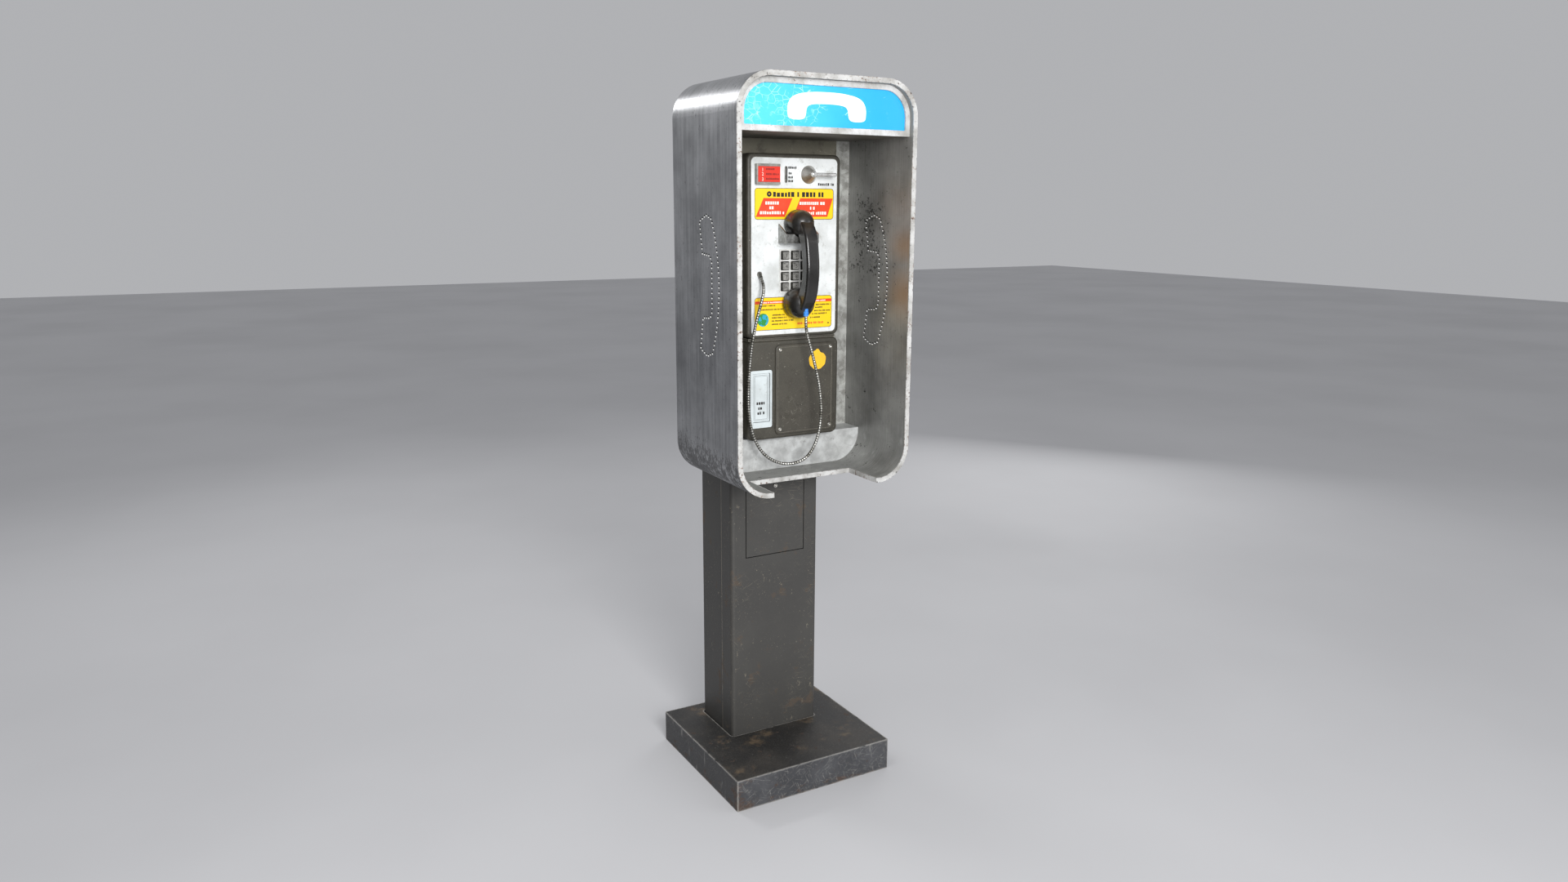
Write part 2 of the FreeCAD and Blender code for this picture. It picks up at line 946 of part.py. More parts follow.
def release_lever():
    hub_front = lever_boss_front - lever_hub_gap - lever_hub_length
    hub = rod(lever_hub_radius, (lever_x, hub_front, lever_z), (0, 1, 0), lever_hub_length)
    hub = soften(hub, hub_front, 1.5)
    shaft_front = lever_boss_front - lever_hub_gap - 0.2
    shaft = rod(lever_shaft_radius, (lever_x, shaft_front, lever_z), (0, 1, 0), lever_shaft_length)
    arm_front = hub_front + lever_arm_inset
    arm = panel(
        lever_x,
        lever_x + lever_reach,
        lever_z - lever_arm_half,
        lever_z + lever_arm_half,
        arm_front,
        arm_front + lever_arm_thickness,
        lever_arm_half - 0.1,
    )
    return hub.fuse([shaft, soften(arm, arm_front, 1)]).removeSplitter()


# Steel pocket for the ear cup, with the two ears that carry the hook inside the telephone
def hook_cradle():
    cheek = [
        (face_front, cradle_bottom),
        (face_front, cradle_root),
        (cradle_front, cradle_lip),
        (cradle_front, cradle_bottom),
    ]
    left = side_plate(cheek, cradle_left, cradle_left + cradle_sheet)
    right = side_plate(cheek, cradle_right - cradle_sheet, cradle_right)
    front = block(
        cradle_left, cradle_right, cradle_front, cradle_front + cradle_sheet, cradle_bottom, cradle_lip
    )
    cup_rest = rod(ear_radius + 1.5, (phone_middle, cradle_front, ear_height), (0, 1, 0), cradle_sheet)
    floor = block(
        cradle_left, cradle_right, cradle_front, face_front, cradle_bottom, cradle_bottom + cradle_sheet
    )
    ears = []
    for side in (-1, 1):
        near = phone_middle + side * (hook_half + hook_ear_inner)
        far = phone_middle + side * (hook_half + hook_ear_outer)
        span = (min(near, far), max(near, far))
        ears.append(block(*span, hook_ear_front, hook_ear_back, cradle_bottom + 0.5, hook_ear_top))
    axle_start = (phone_middle - 2 * hook_half, *hook_axis)
    axle_hole = rod(hook_axle_radius + shaft_clearance, axle_start, (1, 0, 0), 4 * hook_half)
    pocket = front.cut(cup_rest)
    return left.fuse([right, pocket, floor] + ears).cut(axle_hole).removeSplitter()


def switch_hook():
    left = phone_middle - hook_half
    right = phone_middle + hook_half
    tongue = block(left, right, hook_reach, hook_axis[0], hook_low, hook_high)
    axle_half = hook_half + hook_ear_outer
    axle = rod(hook_axle_radius, (phone_middle - axle_half, *hook_axis), (1, 0, 0), 2 * axle_half)
    collar = rod(hook_collar_radius, (left, *hook_axis), (1, 0, 0), 2 * hook_half)
    return tongue.fuse([collar, axle]).removeSplitter()


def bezel_half():
    return (1.5 * key_step_x + bezel_bar / 2, 2 * key_step_z + bezel_bar / 2)


def key_place(row, column):
    x = phone_middle + (column - 1) * key_step_x
    z = keypad_middle + (1.5 - row) * key_step_z
    return x, z


def keypad_bezel():
    half_x, half_z = bezel_half()
    plate = panel(
        phone_middle - half_x,
        phone_middle + half_x,
        keypad_middle - half_z,
        keypad_middle + half_z,
        bezel_front,
        face_front,
        2,
    )
    cells = []
    for row in range(4):
        for column in range(3):
            x, z = key_place(row, column)
            wide = key_wide / 2 + key_gap
            tall = key_tall / 2 + key_gap
            cells.append(panel(x - wide, x + wide, z - tall, z + tall, bezel_front, face_front, 2.5))
    return plate.cut(cells)


# Straight block in the bezel with a tapered top, narrowing to a smaller face
def key(row, column):
    x, z = key_place(row, column)
    wide = key_wide / 2
    tall = key_tall / 2
    body = panel(x - wide, x + wide, z - tall, z + tall, bezel_front, key_back, key_corner)
    rings = []
    for half_x, half_z, corner, y in (
        (wide, tall, key_corner, bezel_front),
        (key_face_wide / 2, key_face_tall / 2, key_face_corner, key_front),
    ):
        ring = outline(
            x - half_x, x + half_x, z - half_z, z + half_z, corner, corner, lambda a, b: Vector(a, y, b)
        )
        rings.append(ring)
    top = Part.makeLoft(rings, True, True)
    return body.fuse(top).removeSplitter()


def keypad_board():
    half_x, half_z = bezel_half()
    return panel(
        phone_middle - half_x,
        phone_middle + half_x,
        keypad_middle - half_z,
        keypad_middle + half_z,
        board_back - board_sheet,
        board_back,
        2,
    )


def coin_return_frame():
    front = phone_front - return_frame_depth
    left, right, bottom, top = return_window
    body = panel(return_left, return_right, return_bottom, return_top, front, phone_front, 4)
    window = panel(left, right, bottom, top, front, phone_front, 2)
    return soften(body, front, 0.8).cut(window)


# Bucket behind the flap; its sides carry the flap's axle
def coin_return_cup():
    left, right, bottom, top = return_window
    left -= return_cup_side
    right += return_cup_side
    bottom -= return_cup_side
    sheet = return_cup_sheet
    outer = block(left, right, phone_front, return_cup_back, bottom, top + 2)
    inner = block(
        left + sheet, right - sheet, phone_front, return_cup_back - sheet, bottom + sheet, top + 2
    )
    axle_hole = rod(flap_pin_radius + shaft_clearance, (left - sheet, *flap_axis), (1, 0, 0), 60)
    return outer.cut([inner, axle_hole])


def coin_return_flap():
    left, right, bottom, top = return_window
    pin = rod(
        flap_pin_radius,
        (left - return_cup_side, *flap_axis),
        (1, 0, 0),
        right - left + 2 * return_cup_side,
    )
    left += flap_gap
    right -= flap_gap
    leaf = panel(left, right, bottom + flap_gap, top - flap_gap, flap_front, flap_back, 1.5)
    barrel = rod(flap_barrel_radius, (left, *flap_axis), (1, 0, 0), right - left)
    axis_y, axis_z = flap_axis
    web = block(left, right, flap_back, axis_y, axis_z - flap_barrel_radius, axis_z)
    return leaf.fuse([barrel, web, pin]).removeSplitter()


def vault_screw_spots():
    side, end = vault_screw_inset
    return [
        (x, z)
        for x in (vault_left + side, vault_right - side)
        for z in (vault_bottom + end, vault_top - end + 2)
    ]


def vault_screw_holes():
    return [rod(vault_screw_hole, (x, vault_front, z), (0, 1, 0), 30) for x, z in vault_screw_spots()]


def vault_door():
    leaf = panel(vault_left, vault_right, vault_bottom, vault_top, vault_front, phone_front, vault_corner)
    leaf = soften(leaf, vault_front, 2.5)
    left, right, bottom, top = vault_mouth
    plug = panel(
        left + vault_plug_gap,
        right - vault_plug_gap,
        bottom + vault_plug_gap,
        top - vault_plug_gap,
        phone_front,
        phone_front + phone_wall,
        3.5,
    )
    return leaf.fuse(plug).cut(vault_screw_holes()).removeSplitter()


def vault_door_screws():
    screws = [
        button_screw(x, z, vault_front, 3.6, 2.2, vault_screw_radius, 10)
        for x, z in vault_screw_spots()
    ]
    return Part.makeCompound(screws)


def coin_box():
    floor = shelf_top + phone_wall
    outer = block(coin_box_left, coin_box_right, coin_box_front, coin_box_back, floor, coin_box_top)
    inner = block(
        coin_box_left + coin_box_sheet,
        coin_box_right - coin_box_sheet,
        coin_box_front + coin_box_sheet,
        coin_box_back - coin_box_sheet,
        floor + coin_box_sheet,
        coin_box_top,
    )
    return outer.cut(inner)


# Lock barrel in the right side of the upper housing
def housing_lock():
    gap = 0.3
    face = phone_right + gap + lock_flange
    barrel = rod(lock_radius, (phone_right - lock_depth, lock_y, lock_z), (1, 0, 0), lock_depth + gap)
    flange = rod(lock_radius + 2, (phone_right + gap, lock_y, lock_z), (1, 0, 0), lock_flange)
    keyway = block(face - 2, face, lock_y - 1, lock_y + 1, lock_z - 5, lock_z + 5)
    return barrel.fuse(flange).cut(keyway).removeSplitter()


# Bowl with a spherical back: the cup end of the handset
def cup(radius, sphere_y, height):
    front = cup_back - cap_thickness
    drum = rod(radius, (phone_middle, sphere_y, height), (0, 1, 0), front - sphere_y)
    ball = Part.makeSphere(radius, Vector(phone_middle, sphere_y, height))
    toward_phone = block(-100, 150, sphere_y, 0, height - 60, height + 60)
    return drum.fuse(ball.cut(toward_phone)).removeSplitter()


# The handle in side view: two smooth curves, outer and inner, closed inside the cups
def handle():
    outer = [(-58, 1117), (-84, 1106), (-100, 1085), (-107.5, 1055), (-111, 1022)]
    outer += [(-108, 988), (-100, 962), (-84, 943), (-58, 931)]
    inner = [(-58, 1088), (-74, 1078), (-83.5, 1055), (-88, 1022), (-84.5, 992), (-74, 974), (-58, 964)]
    x = phone_middle - handle_half
    curves = []
    for side in (outer, inner):
        curve = Part.BSplineCurve()
        curve.interpolate([Vector(x, y, z) for y, z in side])
        curves.append(curve.toShape())
    caps = [
        Part.makeLine(Vector(x, *outer[0]), Vector(x, *inner[0])),
        Part.makeLine(Vector(x, *outer[-1]), Vector(x, *inner[-1])),
    ]
    wire = Part.Wire(Part.__sortEdges__(curves + caps))
    body = Part.Face(wire).extrude(Vector(2 * handle_half, 0, 0))
    long_edges = [edge for edge in body.Edges if edge.BoundBox.ZLength > 100]
    return body.makeFillet(handle_edge, long_edges)


def handset_shell():
    ear = cup(ear_radius, ear_sphere_y, ear_height)
    mouth = cup(mouth_radius, mouth_sphere_y, mouth_height)
    end = (phone_middle, ferrule_y, ferrule_end)
    bore = rod(ferrule_radius, end, (0, 0, 1), ferrule_length + 0.5)
    seat = rod(ferrule_radius + ferrule_collar + shaft_clearance, end, (0, 0, 1), ferrule_collar_length)
    return handle().fuse([ear, mouth]).cut([bore, seat]).removeSplitter()


# Screwed cap with a ring of sound holes, in a shallow dish
def sound_cap(radius, height, hole_count):
    front = cup_back - cap_thickness
    cap = rod(radius + 0.5, (phone_middle, front, height), (0, 1, 0), cap_thickness)
    cap = soften(cap, cup_back, 2)
    dish_y = cup_back + dish_radius - dish_depth
    dish = Part.makeSphere(dish_radius, Vector(phone_middle, dish_y, height))
    holes = [rod(sound_hole_radius, (phone_middle, front, height), (0, 1, 0), cap_thickness)]
    for n in range(hole_count):
        turn = 2 * math.pi * n / hole_count
        x = phone_middle + sound_ring_radius * math.cos(turn)
        z = height + sound_ring_radius * math.sin(turn)
        holes.append(rod(sound_hole_radius, (x, front, z), (0, 1, 0), cap_thickness))
    return cap.cut([dish] + holes)


def cord_ferrule():
    end = (phone_middle, ferrule_y, ferrule_end)
    sleeve = rod(ferrule_radius - shaft_clearance, end, (0, 0, 1), ferrule_length)
    collar = rod(ferrule_radius + ferrule_collar, end, (0, 0, 1), ferrule_collar_length)
    return sleeve.fuse(collar).removeSplitter()


# Sleeve that the cord leaves through, bent down from the faceplate
def cord_bushing():
    down = Vector(0, -1, -1).normalize()
    root = Vector(bushing_x, face_front, bushing_z)
    flange_front = face_front - bushing_flange_depth
    flange = rod(
        bushing_flange_radius, (bushing_x, flange_front, bushing_z), (0, 1, 0), bushing_flange_depth
    )
    stem = rod(bushing_stem_radius, tuple(root), (0, 1, 0), bushing_stem_length)
    snout = Part.makeCylinder(bushing_snout_radius, bushing_snout, root, down)
    behind = block(
        bushing_x - bushing_snout,
        bushing_x + bushing_snout,
        face_front,
        face_front + bushing_snout,
        bushing_z - bushing_snout,
        bushing_z + bushing_snout,
    )
    return flange.fuse([stem, snout.cut(behind)]).removeSplitter()


# Straight runs joined by tangent arcs, each as large as its two runs allow
def cord_path(points):
    edges = []
    radii = []
    at = points[0]
    for before, corner, after in zip(points, points[1:], points[2:]):
        into = corner - before
        out = after - corner
        shorter = min(into.Length, out.Length)
        half_turn = into.getAngle(out) / 2
        reach = 0.45 * shorter
        radii.append(reach / math.tan(half_turn))
        into.normalize()
        out.normalize()
        start = corner - into * reach
        end = corner + out * reach
        inward = (out - into).normalize()
        middle = corner + inward * (radii[-1] / math.cos(half_turn) - radii[-1])
        edges.append(Part.LineSegment(at, start).toShape())
        edges.append(Part.Arc(start, middle, end).toShape())
        at = end
    edges.append(Part.LineSegment(at, points[-1]).toShape())
    return Part.Wire(edges), radii


def armored_cord():
    points = [Vector(*point) for point in cord_route]
    path, radii = cord_path(points)
    section = Part.Wire(Part.makeCircle(cord_radius, points[0], points[1] - points[0]))
    tube = path.makePipeShell([section], True, False)
    expected = math.pi * cord_radius**2 * path.Length
    print("cord length", round(path.Length, 1), "volume ratio", round(tube.Volume / expected, 4))
    print("cord radii", [round(radius) for radius in radii])
    return tube


def save(node, shape):
    if not shape.isValid() or shape.Volume <= 0:
        print("check", node)
    shape.exportStep(f"parts/{node}.step")


os.makedirs("parts", exist_ok=True)

save("anchor_plate", anchor_plate())
save("base_cover", base_cover())
save("post_column", post_column())
save("post_cover", post_cover())
save("access_door", access_door())
save("access_door_screw", access_door_screw())
save("post_top_plate", post_top_plate())
save("back_bracket", back_bracket())
save("enclosure_bolts", enclosure_bolts())

save("outer_skin", outer_skin())
save("acoustic_core", acoustic_core())
save("inner_liner", inner_liner())
save("edge_trim", edge_trim())
save("rear_panel", rear_panel())
save("backboard", backboard())
save("back_rail_left", back_rail(-1))
save("back_rail_right", back_rail(1))
save("shelf", shelf())
save("lightbox_floor", lightbox_floor())
save("sign_frame", sign_frame())
save("sign_panel", sign_panel())
save("lamp_tube", lamp_tube())
save("lamp_holders", lamp_holders())

save("upper_housing", upper_housing())
save("lower_housing", lower_housing())
save("faceplate", faceplate())
save("card_holder", card_holder())
save("instruction_card", instruction_card())
save("coin_slot_bezel", coin_slot_bezel())
save("lever_boss", lever_boss())
save("release_lever", release_lever())
save("hook_cradle", hook_cradle())
save("switch_hook", switch_hook())
save("keypad_bezel", keypad_bezel())
save("keypad_board", keypad_board())
for row, names in enumerate(key_rows):
    for column, name in enumerate(names):
        save(f"key_{name}", key(row, column))

save("coin_return_frame", coin_return_frame())
save("coin_return_cup", coin_return_cup())
save("coin_return_flap", coin_return_flap())
save("vault_door", vault_door())
save("vault_door_screws", vault_door_screws())
save("coin_box", coin_box())
save("housing_lock", housing_lock())

save("handset_shell", handset_shell())
save("ear_cap", sound_cap(ear_radius, ear_height, 8))
save("mouth_cap", sound_cap(mouth_radius, mouth_height, 10))
save("cord_ferrule", cord_ferrule())
save("cord_bushing", cord_bushing())
save("armored_cord", armored_cord())
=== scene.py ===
import math

import bpy
import numpy as np
from mathutils import Matrix, Vector


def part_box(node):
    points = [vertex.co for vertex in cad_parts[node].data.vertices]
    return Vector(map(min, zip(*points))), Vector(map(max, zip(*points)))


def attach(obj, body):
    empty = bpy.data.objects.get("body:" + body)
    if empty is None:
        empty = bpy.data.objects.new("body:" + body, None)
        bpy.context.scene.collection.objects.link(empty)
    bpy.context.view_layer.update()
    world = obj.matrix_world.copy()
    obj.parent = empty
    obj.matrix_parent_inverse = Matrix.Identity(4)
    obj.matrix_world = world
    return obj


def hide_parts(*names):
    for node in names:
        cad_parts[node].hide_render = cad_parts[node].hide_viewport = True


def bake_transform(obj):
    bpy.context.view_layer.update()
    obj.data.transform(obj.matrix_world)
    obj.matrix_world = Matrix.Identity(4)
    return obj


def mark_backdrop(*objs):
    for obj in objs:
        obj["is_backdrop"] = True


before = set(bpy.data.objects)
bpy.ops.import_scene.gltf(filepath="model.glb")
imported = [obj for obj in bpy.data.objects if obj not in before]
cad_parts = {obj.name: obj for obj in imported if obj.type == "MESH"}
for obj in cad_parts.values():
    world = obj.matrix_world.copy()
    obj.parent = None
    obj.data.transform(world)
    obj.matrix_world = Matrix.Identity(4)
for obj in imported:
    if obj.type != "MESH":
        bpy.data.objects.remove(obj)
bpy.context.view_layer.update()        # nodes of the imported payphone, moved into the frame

print("payphone: frame loaded,", len(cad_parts), "nodes")

# Metres, as the frame is: X to the right, Y away from the caller, Z up


# sRGB 0-255 to the linear colour that a socket takes
def tone(red, green, blue):
    share = np.array([red, green, blue]) / 255
    linear = np.where(share <= 0.04045, share / 12.92, ((share + 0.055) / 1.055) ** 2.4)
    return (*linear.tolist(), 1.0)


# One value inside a material: arithmetic on it adds the Math nodes
class Flow:
    def __init__(self, finish, socket):
        self.finish = finish
        self.socket = socket

    def __add__(self, other):
        return self.finish.maths("ADD", self, other)

    def __sub__(self, other):
        return self.finish.maths("SUBTRACT", self, other)

    def __rsub__(self, other):
        return self.finish.maths("SUBTRACT", other, self)

    def __mul__(self, other):
        return self.finish.maths("MULTIPLY", self, other)

    def __truediv__(self, other):
        return self.finish.maths("DIVIDE", self, other)

    def __mod__(self, other):
        return self.finish.maths("FLOORED_MODULO", self, other)

    def __or__(self, other):
        return self.finish.maths("MAXIMUM", self, other)

    def __abs__(self):
        return self.finish.maths("ABSOLUTE", self)

    __radd__ = __add__
    __rmul__ = __mul__

    # 0 below low, 1 above high, smooth between; turned round when low is above high
    def step(self, low, high):
        settings = {"interpolation_type": "SMOOTHSTEP"}
        return self.finish.add("ShaderNodeMapRange", settings, {0: self, 1: low, 2: high})


# A Principled material and the nodes that feed it, read in Object coordinates
class Finish:
    def __init__(self, name):
        self.material = bpy.data.materials.new(name)
        self.material.use_nodes = True
        self.tree = self.material.node_tree
        self.tree.nodes.clear()
        output = self.tree.nodes.new("ShaderNodeOutputMaterial")
        self.shader = self.tree.nodes.new("ShaderNodeBsdfPrincipled")
        self.tree.links.new(self.shader.outputs[0], output.inputs[0])
        self.place = self.add("ShaderNodeTexCoord", out="Object")
        self.x = self.add("ShaderNodeSeparateXYZ", {}, {0: self.place}, out=0)
        self.y = Flow(self, self.x.socket.node.outputs[1])
        self.z = Flow(self, self.x.socket.node.outputs[2])

    # Any node: its settings go in first, then the values or links of its sockets
    def add(self, kind, settings=None, values=None, out=0):
        node = self.tree.nodes.new(kind)
        for key, value in (settings or {}).items():
            setattr(node, key, value)
        for key, value in (values or {}).items():
            if isinstance(value, Flow):
                self.tree.links.new(value.socket, node.inputs[key])
            else:
                node.inputs[key].default_value = value
        return Flow(self, node.outputs[out])

    def maths(self, operation, first, second=None):
        values = {0: first} if second is None else {0: first, 1: second}
        return self.add("ShaderNodeMath", {"operation": operation}, values)

    def mix(self, mask, first, second):
        return self.add("ShaderNodeMix", {"data_type": "RGBA"}, {0: mask, 6: first, 7: second}, out=2)

    def spot(self, stretch=(1, 1, 1), shift=(0, 0, 0)):
        values = {"Vector": self.place, "Location": shift, "Scale": stretch}
        return self.add("ShaderNodeMapping", {}, values)

    # One part of the surface's direction: 0 for X, 1 for Y, 2 for Z
    def facing(self, axis):
        normal = self.add("ShaderNodeNewGeometry", out="Normal")
        return self.add("ShaderNodeSeparateXYZ", {}, {0: normal}, out=axis)

    def noise(self, scale, detail=3.0, rough=0.5, **spot):
        where = self.spot(**spot) if spot else self.place
        values = {"Vector": where, "Scale": scale, "Detail": detail, "Roughness": rough}
        return self.add("ShaderNodeTexNoise", {}, values)

    def cells(self, scale, feature="F1", out="Distance", **spot):
        where = self.spot(**spot) if spot else self.place
        return self.add("ShaderNodeTexVoronoi", {"feature": feature}, {"Vector": where, "Scale": scale}, out)

    # Thin straight scratches of that length and width, in a few directions of the X-Z plane
    def scratches(self, length, width, limit, turns=(0.35, -0.6, 1.2)):
        lines = None
        for number, angle in enumerate(turns):
            values = {"Vector": self.place, "Location": (number, 0, 0), "Rotation": (0, angle, 0)}
            values["Scale"] = (length, width, width)
            where = self.add("ShaderNodeMapping", {"vector_type": "TEXTURE"}, values)
            values = {"Vector": where, "Scale": 1.0, "Detail": 1.0, "Roughness": 0.4}
            line = self.add("ShaderNodeTexNoise", {}, values).step(limit, limit + 0.04)
            lines = line if lines is None else lines | line
        return lines

    # 1 where the surface turns within that radius, at an edge
    def edges(self, radius, low=0.985, high=0.9):
        rounded = self.add("ShaderNodeBevel", {"samples": 4}, {"Radius": radius})
        flat = self.add("ShaderNodeNewGeometry", out="Normal")
        settings = {"operation": "DOT_PRODUCT"}
        along = self.add("ShaderNodeVectorMath", settings, {0: rounded, 1: flat}, out="Value")
        return along.step(low, high)

    # Sets the shader's sockets, each to a value or a flow; relief is a height in metres
    def surface(self, relief=None, **values):
        for key, value in values.items():
            socket = self.shader.inputs[key.replace("_", " ")]
            if isinstance(value, Flow):
                self.tree.links.new(value.socket, socket)
            else:
                socket.default_value = value
        if relief is not None:
            bump = self.add("ShaderNodeBump", {}, {"Strength": 1.0, "Distance": 1.0, "Height": relief})
            self.tree.links.new(bump.socket, self.shader.inputs["Normal"])
        return self.material


# Mesh object from points and lists of faces, each an array with one face a row
def makePiece(name, points, faces, finishes, body="booth", smooth=False):
    mesh = bpy.data.meshes.new(name)
    rows = [tuple(face) for group in faces for face in np.asarray(group).tolist()]
    mesh.from_pydata(np.asarray(points, float).reshape(-1, 3).tolist(), [], rows)
    mesh.validate()
    mesh.update()
    for finish in finishes:
        mesh.materials.append(finish)
    mesh.polygons.foreach_set("use_smooth", np.full(len(mesh.polygons), smooth))
    piece = bpy.data.objects.new(name, mesh)
    bpy.context.scene.collection.objects.link(piece)
    if body:
        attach(piece, body)
    return piece


# Quads that join each row of a rows x columns grid of points to the next
def gridFaces(rows, columns, closeRows=False, closeColumns=False):
    index = np.arange(rows * columns).reshape(rows, columns)
    if closeRows:
        index = np.concatenate([index, index[:1]])
    if closeColumns:
        index = np.concatenate([index, index[:, :1]], axis=1)
    corners = [index[:-1, :-1], index[:-1, 1:], index[1:, 1:], index[1:, :-1]]
    return np.stack(corners, axis=-1).reshape(-1, 4)


# Rectangle in X-Z with rounded corners, anticlockwise: each corner is a quarter circle in equal turns
def roundedOutline(left, right, bottom, top, radius, turns=6):
    angle = np.radians(np.linspace(0, 90, turns + 1))
    corners = [(left, bottom, 180), (right, bottom, 270), (right, top, 0), (left, top, 90)]
    parts = []
    for x, z, start in corners:
        inX = radius if x == left else -radius
        inZ = radius if z == bottom else -radius
        turn = angle + math.radians(start)
        parts.append(np.stack([x + inX + radius * np.cos(turn), z + inZ + radius * np.sin(turn)], axis=1))
    return np.concatenate(parts)


# Flat plate with that outline in X-Z, from y = front to y = back
def plateShape(outline, front, back):
    count = len(outline)
    layers = [np.insert(outline, 1, y, axis=1) for y in (front, back)]
    this = np.arange(count)
    following = np.roll(this, -1)
    sides = np.stack([following, this, this + count, following + count], axis=1)
    return np.concatenate(layers), [[this], [this[::-1] + count], sides]


# Flat frame between an outer and an inner outline of as many points
def frameShape(outer, inner, front, back):
    count = len(outer)
    loops = [np.insert(line, 1, y, axis=1) for y in (front, back) for line in (outer, inner)]
    grid = np.stack([loops[0], loops[1], loops[3], loops[2]])
    return grid.reshape(-1, 3), [gridFaces(4, count, closeRows=True, closeColumns=True)[:, ::-1]]


# Several plates in one mesh, made from the boxes (left, right, bottom, top), one a row
def barsShape(boxes, front, back):
    left, right, bottom, top = np.asarray(boxes, float).T
    near = [(left, bottom), (right, bottom), (right, top), (left, top)]
    corners = [(x, np.full_like(x, y), z) for y in (front, back) for x, z in near]
    points = np.stack([np.stack(corner, axis=1) for corner in corners], axis=1)
    box = np.array([[0, 1, 2, 3], [7, 6, 5, 4], [1, 0, 4, 5], [2, 1, 5, 6], [3, 2, 6, 7], [0, 3, 7, 4]])
    faces = (np.arange(len(left))[:, None, None] * 8 + box[None]).reshape(-1, 4)
    return points.reshape(-1, 3), [faces]


# Plain blocks that stand where a line of small print was: widths and gaps drawn at random from a seed
def printBoxes(left, right, middle, height, seed, word=5):
    draw = np.random.default_rng(seed)
    count = int((right - left) / (height * 0.5)) + 2
    width = draw.uniform(0.42, 0.8, count) * height
    gap = np.where(draw.random(count) < 1 / word, 0.75, 0.24) * height
    start = left + np.concatenate([[0], np.cumsum(width + gap)[:-1]])
    keep = start + width <= right
    tall = draw.choice([0.86, 1.0, 1.0], count) * height
    low = np.full(count, middle - height / 2)
    return np.stack([start, start + width, low, low + tall], axis=1)[keep]


printThickness = 0.00012
firstSeed = 7


# Several lines of print in one piece; each row is left, right, middle and height
def printPiece(name, lines, front, finish, body="booth"):
    boxes = [printBoxes(*line, seed=firstSeed + number) for number, line in enumerate(lines)]
    shape = barsShape(np.concatenate(boxes), front - printThickness, front)
    return makePiece(name, *shape, [finish], body)


# A digit or sign as a thin raised mesh facing the front, centred on x, z
def figurePiece(name, figure, x, z, front, height, finish, body):
    curve = bpy.data.curves.new(name, "FONT")
    curve.body = figure
    curve.size = height * 1.38
    curve.extrude = 0.00006
    curve.align_x = "CENTER"
    curve.resolution_u = 4
    draft = bpy.data.objects.new(name, curve)
    bpy.context.scene.collection.objects.link(draft)
    mesh = bpy.data.meshes.new_from_object(draft)
    bpy.data.objects.remove(draft)
    corners = np.array([corner.co[:] for corner in mesh.vertices])
    middle = (corners.min(axis=0) + corners.max(axis=0)) / 2
    turned = Matrix.Rotation(math.radians(90), 4, "X") @ Matrix.Translation(-Vector(middle))
    mesh.transform(Matrix.Translation((x, front, z)) @ turned)
    mesh.materials.clear()
    mesh.materials.append(finish)
    piece = bpy.data.objects.new(name, mesh)
    bpy.context.scene.collection.objects.link(piece)
    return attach(piece, body)


# Corner cutting, a few rounds: each corner becomes two points, a quarter in from its ends
def softenOutline(points, rounds=3):
    line = np.asarray(points, float)
    for _ in range(rounds):
        following = np.roll(line, -1, axis=0)
        pairs = [0.75 * line + 0.25 * following, 0.25 * line + 0.75 * following]
        line = np.stack(pairs, axis=1).reshape(-1, 2)
    return line


# Camera, at the caller's left, level with the upper label and looking down a little
view = {
    "position": (-1.0446, -1.8370, 1.1375),
    "yaw": 29.942,
    "pitch": -12.253,
    "roll": 0.282,
    "lens": 25.115,
}


def placeCamera():
    yaw, pitch, roll = (math.radians(view[key]) for key in ("yaw", "pitch", "roll"))
    ahead = Vector((math.sin(yaw) * math.cos(pitch), math.cos(yaw) * math.cos(pitch), math.sin(pitch)))
    level = Vector((math.cos(yaw), -math.sin(yaw), 0))
    upright = level.cross(ahead)
    right = level * math.cos(roll) + upright * math.sin(roll)
    up = upright * math.cos(roll) - level * math.sin(roll)
    data = bpy.data.cameras.new("callerView")
    data.sensor_width = 36
    data.lens = view["lens"]
    camera = bpy.data.objects.new("callerView", data)
    turn = Matrix((right, up, -ahead)).transposed().to_4x4()
    camera.matrix_world = Matrix.Translation(view["position"]) @ turn
    bpy.context.scene.collection.objects.link(camera)
    bpy.context.scene.camera = camera


placeCamera()
print("payphone: camera placed")

# Armoured cord: its route, and the rings of steel strip wound along it
cord = {
    "diameter": 0.006,
    "length": 0.722,
    "ringPitch": 0.0048,
    "grooveDepth": 0.0008,
    "sides": 12,
    "stepsPerRing": 6,
    "route": [
        (-0.0635, -0.04486, 1.00304),
        (-0.0635, -0.0576, 0.9903),
        (-0.0695, -0.0645, 0.970),
        (-0.0815, -0.0630, 0.930),
        (-0.0905, -0.0585, 0.880),
        (-0.0950, -0.0550, 0.820),
        (-0.0955, -0.0530, 0.758),
        (-0.0865, -0.0545, 0.706),
        (-0.0640, -0.0600, 0.666),
        (-0.0250, -0.0700, 0.6465),
        (0.0140, -0.0825, 0.655),
        (0.0350, -0.0895, 0.690),
        (0.0435, -0.0920, 0.742),
        (0.0395, -0.0910, 0.795),
        (0.0290, -0.0876, 0.843),
        (0.0215, -0.0854, 0.872),
        (0.0140, -0.0837, 0.898),
        (0.0116, -0.0830, 0.9125),
        (0.0116, -0.0830, 0.932),
    ],
}


